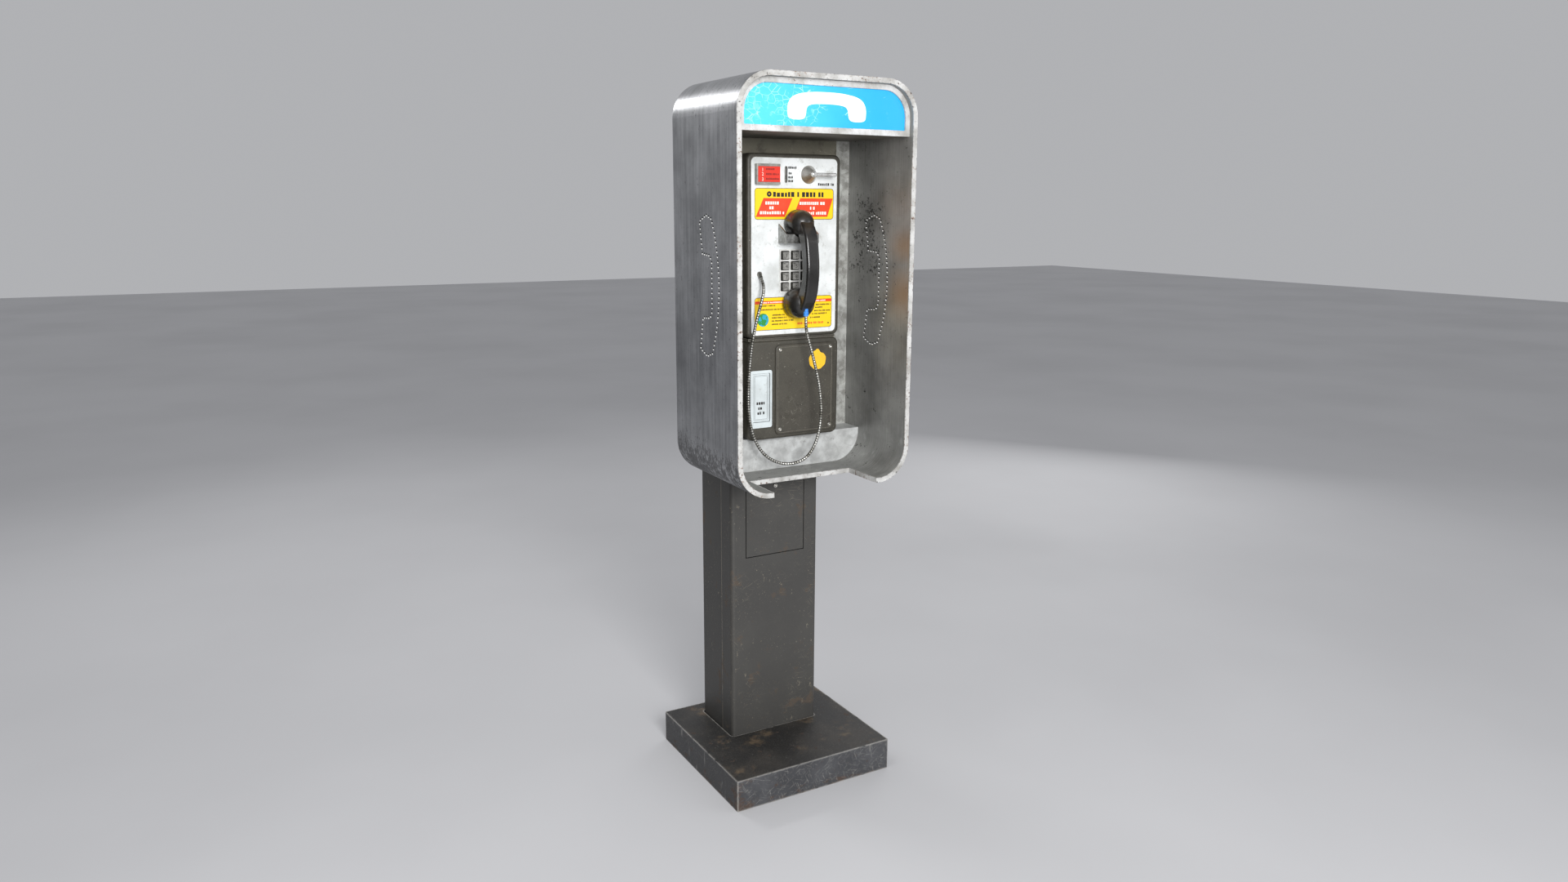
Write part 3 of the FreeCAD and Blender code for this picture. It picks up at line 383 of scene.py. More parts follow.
def splinePoints(route):
    curve = bpy.data.curves.new("route", "CURVE")
    curve.dimensions = "3D"
    curve.resolution_u = 48
    spline = curve.splines.new("NURBS")
    spline.points.add(len(route) - 1)
    spline.points.foreach_set("co", np.insert(np.array(route), 3, 1, axis=1).ravel())
    spline.order_u = 3
    spline.use_endpoint_u = True
    draft = bpy.data.objects.new("route", curve)
    bpy.context.scene.collection.objects.link(draft)
    mesh = bpy.data.meshes.new_from_object(draft)
    points = np.empty(len(mesh.vertices) * 3)
    mesh.vertices.foreach_get("co", points)
    bpy.data.objects.remove(draft)
    return points.reshape(-1, 3)


# Tube along the line: radius = r - depth * (1 - sin(pi * t)) ^ 2, with t from 0 to 1 over each ring of strip
def armouredCord(finish):
    line = splinePoints(cord["route"])
    lengths = np.concatenate([[0], np.cumsum(np.linalg.norm(np.diff(line, axis=0), axis=1))])
    rings = round(lengths[-1] / cord["ringPitch"])
    steps = rings * cord["stepsPerRing"]
    along = np.linspace(0, lengths[-1], steps + 1)
    path = np.stack([np.interp(along, lengths, line[:, axis]) for axis in range(3)], axis=1)
    ahead = np.gradient(path, axis=0)
    ahead /= np.linalg.norm(ahead, axis=1)[:, None]
    side = np.cross(ahead, (0, 1, 0))
    side /= np.linalg.norm(side, axis=1)[:, None]
    upward = np.cross(side, ahead)
    phase = np.arange(steps + 1) / cord["stepsPerRing"] % 1
    radius = cord["diameter"] / 2 - cord["grooveDepth"] * (1 - np.sin(np.pi * phase)) ** 2
    angle = np.linspace(0, 2 * np.pi, cord["sides"], endpoint=False)
    circle = np.cos(angle)[None, :, None] * side[:, None] + np.sin(angle)[None, :, None] * upward[:, None]
    tube = path[:, None] + radius[:, None, None] * circle
    ends = [[np.arange(cord["sides"])[::-1]], [np.arange(cord["sides"]) + steps * cord["sides"]]]
    faces = [gridFaces(steps + 1, cord["sides"], closeColumns=True)]
    piece = makePiece("armouredCord", tube, faces + ends, [finish], body=None, smooth=True)
    shade = piece.data.attributes.new("ringPhase", "FLOAT", "POINT")
    shade.data.foreach_set("value", np.repeat(phase, cord["sides"]).astype(np.float32))
    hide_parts("armored_cord")
    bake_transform(piece)


# Steel strip of the cord: bright on each ring, with painted shade in the hollow between two
def cordSteel():
    steel = Finish("cordSteel")
    phase = steel.add("ShaderNodeAttribute", {"attribute_name": "ringPhase"}, out="Fac")
    # painted shade: the hollow between two rings is made near black and less metallic
    grooveShade = abs(phase - 0.5).step(0.14, 0.36)
    grime = steel.noise(90, 4).step(0.4, 0.7)
    colour = steel.mix(grime, tone(200, 199, 193), tone(122, 119, 110))
    colour = steel.mix(grooveShade, colour, tone(20, 18, 16))
    rough = 0.28 + grime * 0.2 + grooveShade * 0.3
    scuff = steel.noise(1400, 2)
    return steel.surface(
        scuff * 0.00004, Base_Color=colour, Roughness=rough, Metallic=1 - grooveShade * 0.7
    )


armouredCord(cordSteel())
print("payphone: cord strung")

# Floor and light
studio = {
    "floor": tone(196, 196, 198),
    "sky": tone(191, 192, 195),
    "skyStrength": 0.84,
    "lamps": [
        # name, where it stands, what it faces, its width, height and power
        ("keyLight", (-0.9, -3.1, 1.9), (0.0, -0.05, 0.95), 1.4, 1.4, 78),
        ("nearLight", (-0.45, -1.9, 1.3), (0.0, 0.0, 1.1), 0.6, 0.6, 14),
        ("fillLight", (2.6, -2.4, 1.5), (0.0, 0.0, 0.9), 1.8, 1.8, 12),
        ("topLight", (-1.4, -0.4, 3.1), (-0.1, 0.0, 1.2), 1.2, 1.2, 12),
        ("backLight", (-0.95, 2.8, 2.35), (-0.17, -0.1, 1.33), 0.9, 0.3, 18),
        ("rimLight", (2.6, 1.9, 1.2), (0.0, 0.0, 0.9), 1.4, 1.4, 13),
    ],
}


def paleFloor():
    finish = Finish("paleFloor")
    cloud = finish.noise(0.8, 4).step(0.3, 0.8)
    colour = finish.mix(cloud, studio["floor"], tone(188, 188, 190))
    finish.surface(finish.noise(300, 2) * 0.00002, Base_Color=colour, Roughness=0.7 + cloud * 0.1)
    far = 14.0
    corners = [(-far, -far, 0), (far, -far, 0), (far, far, 0), (-far, far, 0)]
    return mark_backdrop(makePiece("studioFloor", corners, [[[0, 1, 2, 3]]], [finish.material], body=None))


def studioLight():
    world = bpy.data.worlds.new("studioSky")
    world.use_nodes = True
    sky = world.node_tree.nodes["Background"]
    sky.inputs["Color"].default_value = studio["sky"]
    sky.inputs["Strength"].default_value = studio["skyStrength"]
    bpy.context.scene.world = world
    for name, where, target, width, height, power in studio["lamps"]:
        data = bpy.data.lights.new(name, "AREA")
        data.shape = "RECTANGLE"
        data.size = width
        data.size_y = height
        data.energy = power
        lamp = bpy.data.objects.new(name, data)
        facing = (Vector(target) - Vector(where)).to_track_quat("-Z", "Y")
        lamp.matrix_world = Matrix.Translation(where) @ facing.to_matrix().to_4x4()
        bpy.context.scene.collection.objects.link(lamp)
    bpy.context.scene.view_settings.view_transform = "Standard"


paleFloor()
studioLight()
print("payphone: studio lit")

shell = dict(zip(("low", "high"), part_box("outer_skin")))
face = dict(zip(("low", "high"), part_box("faceplate")))

# Brushed stainless skin of the enclosure, with a painted dark reflection along the lower bend
outerSkin = {
    "light": tone(186, 187, 189),
    "dark": tone(126, 127, 129),
    "grimeAndDarkReflection": tone(18, 17, 17),
    "bendTop": 0.735,        # height where the painted dark reflection of the lower bend starts
    "bendDeep": 0.66,
    "roughness": 0.3,
}


# Streaks run round the bends, so the grain is fine along Y and drawn out along X and Z
def brushedSkin():
    steel = Finish("brushedSkin")
    hair = steel.noise(1, 2, 0.6, stretch=(10, 1100, 10))
    band = steel.noise(1, 4, 0.6, stretch=(3, 130, 3))
    cloud = steel.noise(9, 5, 0.62)
    pits = steel.noise(190, 3, 0.6, stretch=(1, 1, 0.45)).step(0.66, 0.72) * cloud.step(0.45, 0.62)
    mottle = (hair * 0.35 + band * 0.35 + cloud * 0.55).step(0.42, 0.85)
    colour = steel.mix(mottle, outerSkin["dark"], outerSkin["light"])
    # painted reflection: the lower bend is made near black and less metallic as a dark reflection, mixed into
    # the masks below with real smears, drips and pits
    bend = steel.z.step(outerSkin["bendTop"], outerSkin["bendDeep"])
    fine = steel.noise(150, 6, 0.75, stretch=(1, 1.6, 0.7))
    smear = (bend * 0.62 + (steel.noise(15, 6, 0.7) - 0.5) * 1.4 + (fine - 0.5) * 2.8).step(0.36, 0.6)
    pitted = (fine + steel.noise(7, 4, 0.6) * 0.3).step(0.765, 0.82) * 0.75
    drip = steel.noise(12, 5, 0.7, stretch=(1, 4, 0.5)).step(0.63, 0.76) * 0.45
    grime = smear * 0.9 | drip | pitted | pits * 0.85
    colour = steel.mix(grime * 0.85, colour, outerSkin["grimeAndDarkReflection"])
    scratch = steel.noise(1, 1, 0.4, stretch=(20, 60, 1500)).step(0.72, 0.76) * cloud.step(0.4, 0.6)
    colour = steel.mix(scratch * 0.4, colour, tone(214, 214, 212))
    rub = steel.edges(0.0012) * 0.5
    colour = steel.mix(rub, colour, tone(188, 188, 186))
    rough = outerSkin["roughness"] + mottle * 0.12 + grime * 0.3
    relief = hair * 0.00003 + band * 0.00002 - pits * 0.00005
    return steel.surface(relief, Base_Color=colour, Roughness=rough, Metallic=1 - grime * 0.85)


# Inner liner: greyer, with dark spots round the pricked outline, light scuffs low down and orange and yellow
# patches near the front that are painted reflections
innerLiner = {
    "light": tone(166, 166, 163),
    "dark": tone(122, 122, 119),
    "spots": tone(26, 24, 22),
    "warmReflection": tone(176, 128, 74),
}


def linerSteel():
    steel = Finish("linerSteel")
    hair = steel.noise(1, 2, 0.6, stretch=(10, 900, 10))
    cloud = steel.noise(11, 5, 0.62)
    mottle = (hair * 0.4 + cloud * 0.75).step(0.35, 0.8)
    colour = steel.mix(mottle, innerLiner["dark"], innerLiner["light"])
    right = steel.x.step(0.0, 0.1)
    patchY = steel.y + 0.045
    patchZ = steel.z - 1.078
    near = steel.maths("SQRT", patchY * patchY * 2.6 + patchZ * patchZ).step(0.15, 0.02) * right
    splotch = (steel.noise(150, 6, 0.78) + near * 0.13 + (steel.noise(34, 4) - 0.5) * 0.5).step(0.64, 0.7)
    freckle = (steel.noise(210, 5, 0.72) + cloud * 0.12).step(0.72, 0.77)
    low = steel.z.step(0.80, 0.70)
    scuff = (steel.noise(30, 5, 0.65, stretch=(1, 1, 0.6)) + low * 0.12).step(0.66, 0.8) * 0.55
    # painted reflection: two bands near the front of the right wall, about 1.06 m and 0.975 m high, are
    # tinted warm
    front = steel.y.step(-0.09, -0.165) * right
    warmth = (steel.z - 1.06) / 0.05
    warmReflectionMask = front * (1 - abs(warmth)).step(0.0, 1.0)
    honey = (steel.z - 0.975) / 0.075
    warmReflectionMask = warmReflectionMask | front * (1 - abs(honey)).step(0.0, 1.0)
    colour = steel.mix(scuff, colour, tone(176, 176, 172))
    colour = steel.mix(warmReflectionMask * 0.45, colour, innerLiner["warmReflection"])
    grime = splotch | freckle * 0.8
    colour = steel.mix(grime * 0.9, colour, innerLiner["spots"])
    rough = 0.42 + mottle * 0.14 + grime * 0.25
    return steel.surface(
        hair * 0.00002 - grime * 0.00004, Base_Color=colour, Roughness=rough, Metallic=0.5 - grime * 0.4
    )


# White enamel with chips down to dark metal, most of them along the edges
def chippedWhite(name, paint, stain, chipLimit, edge, rust):
    white = Finish(name)
    cloud = white.noise(22, 5, 0.62)
    colour = white.mix(cloud.step(0.36, 0.72), paint, stain)
    smut = white.noise(85, 6, 0.75).step(0.56, 0.72)
    colour = white.mix(smut * 0.5, colour, tone(134, 131, 124))
    rim = white.edges(edge)
    ragged = white.noise(210, 5, 0.7)
    chip = (ragged + rim * 0.11).step(chipLimit, chipLimit + 0.03)
    halo = (ragged + rim * 0.11).step(chipLimit - 0.07, chipLimit) * white.noise(18, 2).step(0.46, 0.6)
    colour = white.mix(halo * rust, colour, tone(126, 84, 52))
    colour = white.mix(chip, colour, tone(52, 46, 42))
    rough = 0.36 + cloud * 0.2 + chip * 0.25
    return white.surface(chip * -0.00025 + ragged * 0.00003, Base_Color=colour, Roughness=rough)


# Paint worn through on the edges, scratched and specked; look holds its colours and amounts
def wornPaint(name, look):
    paint = Finish(name)
    broad = paint.noise(look["patch"], 5, 0.6)
    grain = paint.noise(look["grain"], 3, 0.6)
    colour = paint.mix(broad.step(0.36, 0.7), look["paint"], look["faded"])
    colour = paint.mix(grain.step(0.45, 0.8) * look["speckle"], colour, look["dust"])
    stain = paint.noise(look["patch"] * 2.6, 6, 0.68, shift=(3, 1, 2)).step(0.52, 0.66)
    colour = paint.mix(stain * look["stained"], colour, look["stain"])
    rubbed = paint.edges(look["edge"]) * paint.noise(45, 5, 0.65).step(0.3, 0.52)
    speck = paint.noise(260, 4, 0.7).step(look["speckLimit"], look["speckLimit"] + 0.03)
    mark = paint.scratches(look["scratch"], 0.0006, look["scratchLimit"]) * paint.noise(8, 2).step(0.45, 0.6)
    bare = rubbed * look["rub"] | speck * 0.8 | mark * 0.5
    colour = paint.mix(bare, colour, look["bare"])
    rough = look["roughness"] + grain * 0.12 - bare * 0.12
    relief = grain * look["peel"] - bare * 0.00005
    return paint.surface(relief, Base_Color=colour, Roughness=rough, Metallic=bare * 0.6)


housing = {
    "paint": tone(56, 54, 47), "faded": tone(68, 65, 57), "dust": tone(98, 94, 84), "stain": tone(44, 39, 32),
    "bare": tone(176, 172, 160), "patch": 9, "grain": 420, "speckle": 0.35, "stained": 0.5, "edge": 0.0019,
    "rub": 0.95, "speckLimit": 0.665, "scratch": 0.018, "scratchLimit": 0.72,
    "roughness": 0.46, "peel": 0.00005,
}
vault = dict(housing, paint=tone(62, 59, 52), faded=tone(72, 69, 60), patch=14, edge=0.0009, rub=0.6)
board = dict(
    housing, paint=tone(104, 101, 88), faded=tone(120, 116, 102), speckLimit=0.66, edge=0.0008, rub=0.4
)
postPaint = {
    "paint": tone(60, 59, 57),
    "faded": tone(68, 67, 64),
    "dust": tone(86, 83, 78),
    "bare": tone(150, 142, 126),
}
hidden = dict(housing, paint=tone(58, 57, 54), faded=tone(72, 70, 66), rub=0.35, speckLimit=0.68)


# Post paint: painted shade on the faces turned left, with rust and bare marks that gather low down and to the
# right
def postFinish(name):
    paint = Finish(name)
    broad = paint.noise(4, 5, 0.6)
    grain = paint.noise(300, 3, 0.6)
    colour = paint.mix(broad.step(0.36, 0.7), postPaint["paint"], postPaint["faded"])
    # painted shade: faces turned to the left are darkened
    left = paint.facing(0).step(-0.4, -0.9)
    colour = paint.mix(left * 0.6, colour, tone(38, 37, 35))
    colour = paint.mix(grain.step(0.5, 0.85) * 0.3, colour, postPaint["dust"])
    low = paint.z.step(0.42, 0.05)
    right = paint.x.step(-0.07, 0.09)
    gather = low * (0.45 + right * 0.55)
    rustPatch = (paint.noise(24, 6, 0.7) + gather * 0.07).step(0.59, 0.68)
    colour = paint.mix(rustPatch * 0.4, colour, tone(90, 72, 54))
    cluster = paint.noise(9, 4, 0.6).step(0.5, 0.6)
    marks = (paint.noise(110, 6, 0.75, stretch=(1, 1, 0.6)) + gather * 0.05).step(0.625, 0.66) * cluster
    speck = paint.noise(330, 3, 0.7).step(0.66, 0.69) * paint.noise(14, 3).step(0.42, 0.58)
    scratch = paint.scratches(0.03, 0.0007, 0.72, (0.1, 0.9, -0.5)) * paint.noise(6, 2).step(0.46, 0.6)
    outer = abs(paint.x).step(0.086, 0.094)
    rubbed = paint.edges(0.0045, 0.995, 0.93) * paint.noise(30, 5, 0.65).step(0.3, 0.52) * outer
    bare = marks * 0.7 | speck * 0.8 | scratch * 0.55 | rubbed * 0.8
    colour = paint.mix(bare, colour, postPaint["bare"])
    rough = 0.46 + grain * 0.14 + rustPatch * 0.2 - bare * 0.1
    relief = grain * 0.00005 + rustPatch * 0.0001 - bare * 0.00005
    return paint.surface(relief, Base_Color=colour, Roughness=rough, Metallic=bare * 0.5)


# Base cover: near black on top with brown dust, blue-grey sides with painted shade on the faces turned left,
# that rust from below
def baseFinish():
    paint = Finish("basePaint")
    up = paint.facing(2).step(0.4, 0.8)
    left = paint.facing(0).step(-0.4, -0.9)
    broad = paint.noise(10, 6, 0.66)
    grain = paint.noise(380, 3, 0.6)
    side = paint.mix(broad.step(0.35, 0.72), tone(52, 53, 56), tone(76, 77, 80))
    top = paint.mix(broad.step(0.42, 0.75), tone(28, 27, 26), tone(54, 50, 45))
    # painted shade: sides turned to the left are darkened
    side = paint.mix(left * 0.8, side, tone(24, 24, 26))
    colour = paint.mix(up, side, top)
    colour = paint.mix(grain.step(0.5, 0.85) * 0.35, colour, tone(104, 102, 100))
    sweep = paint.noise(34, 6, 0.72, stretch=(1, 1, 2.2))
    low = paint.z.step(0.03, 0.0)
    corner = (paint.x.step(-0.12, -0.172) * paint.y.step(-0.10, -0.152)) * (1 - up)
    rust = (sweep + low * 0.09 + corner * 0.12).step(0.59, 0.69)
    colour = paint.mix(rust * 0.7, colour, tone(76, 58, 46))
    dust = paint.noise(13, 6, 0.72, shift=(5, 2, 1)).step(0.53, 0.68) * up
    colour = paint.mix(dust * 0.5, colour, tone(112, 94, 72))
    rubbed = paint.edges(0.0048, 0.985, 0.9) * paint.noise(40, 4, 0.6).step(0.3, 0.5)
    streak = paint.noise(60, 5, 0.72, stretch=(1, 1, 0.25)).step(0.6, 0.68) * (1 - up)
    speck = paint.noise(300, 4, 0.7).step(0.655, 0.69) | streak * 0.4
    scratch = paint.scratches(0.024, 0.0007, 0.71) * 0.5
    bare = rubbed * 0.9 | speck * 0.6 | scratch * (1 - up * 0.5)
    colour = paint.mix(bare, colour, tone(190, 187, 181))
    rough = 0.42 + broad * 0.2 + rust * 0.25 - bare * 0.1
    relief = grain * 0.00006 + rust * 0.00015 - bare * 0.00005
    return paint.surface(relief, Base_Color=colour, Roughness=rough, Metallic=bare * 0.7)


# Zinc: crystals of a few millimetres in slightly different greys, under dull mottling
def zincFinish(name, light, dark, crystal, roughness, metallic=0.45):
    zinc = Finish(name)
    flake = zinc.cells(crystal, out="Color")
    flake = zinc.add("ShaderNodeSeparateColor", {}, {0: flake}, out=0)
    cloud = zinc.noise(40, 5, 0.65)
    mottle = (flake * 0.14 + cloud * 0.95).step(0.34, 0.78)
    colour = zinc.mix(mottle, dark, light)
    stain = zinc.noise(70, 6, 0.72).step(0.58, 0.74)
    colour = zinc.mix(stain * 0.45, colour, tone(96, 93, 87))
    scratch = zinc.scratches(0.014, 0.0005, 0.71) * 0.3
    colour = zinc.mix(scratch | zinc.edges(0.001) * 0.5, colour, tone(220, 220, 216))
    rough = roughness + cloud * 0.2 + stain * 0.15
    relief = cloud * 0.00004 - stain * 0.00003
    return zinc.surface(relief, Base_Color=colour, Roughness=rough, Metallic=metallic)


# Bright plated metal with faint smudges; turned paints a reflection round a point of the X-Z plane, grey
# above it and gold below
def platedFinish(name, colour, shade, roughness, turned=None):
    plate = Finish(name)
    smudge = plate.noise(70, 5, 0.6)
    hairline = plate.noise(1, 3, 0.5, stretch=(240, 240, 1400))
    body = plate.mix(smudge.step(0.4, 0.75), colour, shade)
    if turned:
        # painted reflection: by angle round the point, the upper side goes grey and the lower side gold
        angle = plate.maths("ARCTAN2", plate.z - turned[1], plate.x - turned[0])
        bossReflection = plate.maths("SINE", angle + smudge * 0.5)
        body = plate.mix(bossReflection.step(0.15, 0.75) * 0.6, body, tone(150, 148, 142))
        body = plate.mix(bossReflection.step(-0.2, -0.7) * 0.7, body, tone(140, 116, 82))
    worn = plate.noise(180, 4, 0.7).step(0.63, 0.69)
    body = plate.mix(worn * 0.6, body, tone(60, 57, 52))
    rough = roughness + smudge * 0.16 + worn * 0.2
    shine = 0.55 if turned else 1.0
    relief = hairline * 0.00001 - worn * 0.00002
    return plate.surface(relief, Base_Color=body, Roughness=rough, Metallic=shine)


# White enamel of the faceplate: faint greasy clouds, fine dark specks and hairline scratches
def faceEnamel(name, white, shade):
    enamel = Finish(name)
    cloud = enamel.noise(16, 5, 0.62)
    colour = enamel.mix(cloud.step(0.4, 0.75), white, shade)
    smut = enamel.noise(60, 6, 0.75, shift=(2, 0, 5)).step(0.55, 0.66)
    colour = enamel.mix(smut * 0.5, colour, tone(164, 164, 157))
    speck = enamel.noise(300, 4, 0.7).step(0.65, 0.69)
    scratch = enamel.scratches(0.016, 0.0004, 0.74) * 0.25
    rim = enamel.edges(0.0008) * enamel.noise(60, 4).step(0.45, 0.6)
    colour = enamel.mix(speck * 0.5 | scratch | rim * 0.7, colour, tone(120, 116, 108))
    rough = 0.3 + cloud * 0.22 + speck * 0.2
    relief = enamel.noise(240, 2) * 0.00002
    return enamel.surface(relief, Base_Color=colour, Roughness=rough, Coat_Weight=0.15)


# Printed vinyl or card: ink worn in small flecks
def inkFinish(name, ink, worn, roughness=0.45, wear=0.70):
    vinyl = Finish(name)
    cloud = vinyl.noise(45, 4, 0.6)
    fleck = vinyl.noise(420, 4, 0.7).step(wear - 0.06, wear - 0.02)
    colour = vinyl.mix(cloud.step(0.45, 0.8) * 0.5, ink, worn)
    colour = vinyl.mix(fleck * 0.6, colour, tone(150, 144, 132))
    return vinyl.surface(
        vinyl.noise(500, 2) * 0.00001, Base_Color=colour, Roughness=roughness + cloud * 0.15
    )


# Sign: blue acrylic lit from behind, crazed with fine pale cracks at its left end
def signAcrylic():
    blue = Finish("signAcrylic")
    cloud = blue.noise(26, 5, 0.6)
    left = blue.x.step(0.12, -0.16)
    colour = blue.mix(left * 0.8 + cloud * 0.2, tone(0, 152, 216), tone(84, 196, 232))
    crack = blue.cells(70, "DISTANCE_TO_EDGE", stretch=(1, 1, 1.3)).step(0.035, 0.0)
    crack = crack * (blue.noise(30, 3) + left * 0.22).step(0.6, 0.7)
    haze = (blue.noise(60, 6, 0.75) + left * 0.1).step(0.6, 0.8)
    colour = blue.mix(crack * 0.8 | haze * 0.25, colour, tone(186, 236, 255))
    speck = blue.noise(260, 4, 0.7).step(0.70, 0.73)
    colour = blue.mix(speck * 0.5, colour, tone(18, 90, 120))
    return blue.surface(
        crack * 0.00003, Base_Color=colour, Roughness=0.22 + haze * 0.2, Emission_Color=colour,
        Emission_Strength=0.17,
    )


# Hard black plastic: a fine moulded grain, polished by hands, with dust on what faces up
def handsetPlastic(name, light, dust):
    plastic = Finish(name)
    grain = plastic.noise(1500, 2, 0.5)
    grease = plastic.noise(32, 5, 0.6)
    up = plastic.facing(2).step(0.1, 0.95)
    colour = plastic.mix(grease.step(0.4, 0.75), tone(24, 23, 22), light)
    colour = plastic.mix(up * grease.step(0.4, 0.6) * 0.45, colour, dust)
    fleck = plastic.noise(420, 4, 0.7).step(0.64, 0.68) * 0.5
    rub = plastic.edges(0.0018, 0.97, 0.85) * plastic.noise(50, 4).step(0.3, 0.55) | fleck
    colour = plastic.mix(rub * 0.45, colour, tone(104, 101, 96))
    rough = 0.2 + grease * 0.2 + rub * 0.1
    coat = 0.25 + grease * 0.3
    return plastic.surface(grain * 0.00001, Base_Color=colour, Roughness=rough, Coat_Weight=coat)


# Keys: worn plated metal, light on the faces, with painted shade on the sloping sides and a painted highlight
# round the rims
def keyMetal():
    metal = Finish("keyMetal")
    smear = metal.noise(140, 4, 0.6)
    # painted shade: every face not turned to the front takes the dark slope colour
    front = metal.facing(1).step(-0.8, -0.97)
    face = metal.mix(smear.step(0.35, 0.7), tone(132, 131, 127), tone(176, 175, 170))
    slopeShade = metal.mix(smear.step(0.35, 0.7), tone(48, 47, 44), tone(92, 90, 85))
    colour = metal.mix(front, slopeShade, face)
    # painted highlight: the rims are lightened
    rim = metal.edges(0.0007, 0.985, 0.9)
    colour = metal.mix(rim * 0.6, colour, tone(226, 225, 220))
    speck = metal.noise(500, 4, 0.7).step(0.64, 0.7)
    colour = metal.mix(speck * 0.45, colour, tone(40, 38, 35))
    rough = 0.3 + smear * 0.25
    return metal.surface(smear * 0.00004, Base_Color=colour, Roughness=rough, Metallic=0.6)


# Grey foam with open cells
def coreFoam():
    foam = Finish("coreFoam")
    cell = foam.cells(900)
    cloud = foam.noise(30, 4)
    colour = foam.mix(cell.step(0.1, 0.6), tone(34, 33, 31), tone(66, 64, 60))
    colour = foam.mix(cloud.step(0.4, 0.7) * 0.4, colour, tone(48, 40, 32))
    return foam.surface(cell * 0.0003, Base_Color=colour, Roughness=0.85 + cloud * 0.1)


# Frosted lamp tube with darkened ends
def lampGlass():
    glass = Finish("lampGlass")
    end = abs(glass.x).step(0.12, 0.15)
    cloud = glass.noise(60, 3)
    colour = glass.mix(end * 0.7, tone(244, 246, 248), tone(96, 90, 84))
    return glass.surface(
        cloud * 0.00002, Base_Color=colour, Roughness=0.35 + cloud * 0.1, Emission_Color=colour,
        Emission_Strength=0.6,
    )


# Circuit board: green lacquer over straight tracks that run in a 2.5 mm grid
def boardGreen():
    green = Finish("boardGreen")
    trackX = abs((green.x * 400) % 1.0 - 0.5).step(0.16, 0.12)
    trackZ = abs((green.z * 400) % 1.0 - 0.5).step(0.16, 0.12)
    choose = green.noise(90, 1).step(0.48, 0.52)
    track = trackX * choose | trackZ * (1 - choose)
    colour = green.mix(track, tone(22, 74, 44), tone(64, 128, 76))
    return green.surface(track * 0.00004, Base_Color=colour, Roughness=0.35 + green.noise(80, 3) * 0.1)


ferrulePlastic = Finish("ferrulePlastic")
scuffed = ferrulePlastic.noise(320, 4, 0.65)
ferruleColour = ferrulePlastic.mix(scuffed.step(0.45, 0.75), tone(34, 120, 214), tone(96, 176, 240))
ferrulePlastic.surface(scuffed * 0.00003, Base_Color=ferruleColour, Roughness=0.3 + scuffed * 0.2)

trimWhite = chippedWhite("trimWhite", tone(198, 198, 196), tone(146, 144, 139), 0.62, 0.0012, 0.8)
frameWhite = chippedWhite("frameWhite", tone(202, 203, 203), tone(154, 152, 147), 0.65, 0.001, 0.6)
returnWhite = chippedWhite("returnWhite", tone(206, 214, 216), tone(188, 195, 196), 0.76, 0.0008, 0.25)
housingFinish = wornPaint("housingPaint", housing)
vaultFinish = wornPaint("vaultPaint", vault)
hiddenFinish = wornPaint("hiddenPaint", hidden)
screwFinish = platedFinish("screwSteel", tone(206, 204, 198), tone(150, 148, 142), 0.22)
chromeFinish = platedFinish("chromePlate", tone(226, 226, 224), tone(186, 185, 182), 0.1)
darkFinish = platedFinish("darkSteel", tone(82, 80, 76), tone(54, 52, 49), 0.4)
galvanisedFinish = zincFinish("galvanisedSteel", tone(150, 151, 150), tone(112, 113, 112), 150, 0.42)
plasticFinish = handsetPlastic("handsetPlastic", tone(36, 35, 33), tone(86, 72, 56))
holderFinish = zincFinish("holderZinc", tone(168, 166, 160), tone(124, 122, 116), 260, 0.36)
keyFinish = keyMetal()

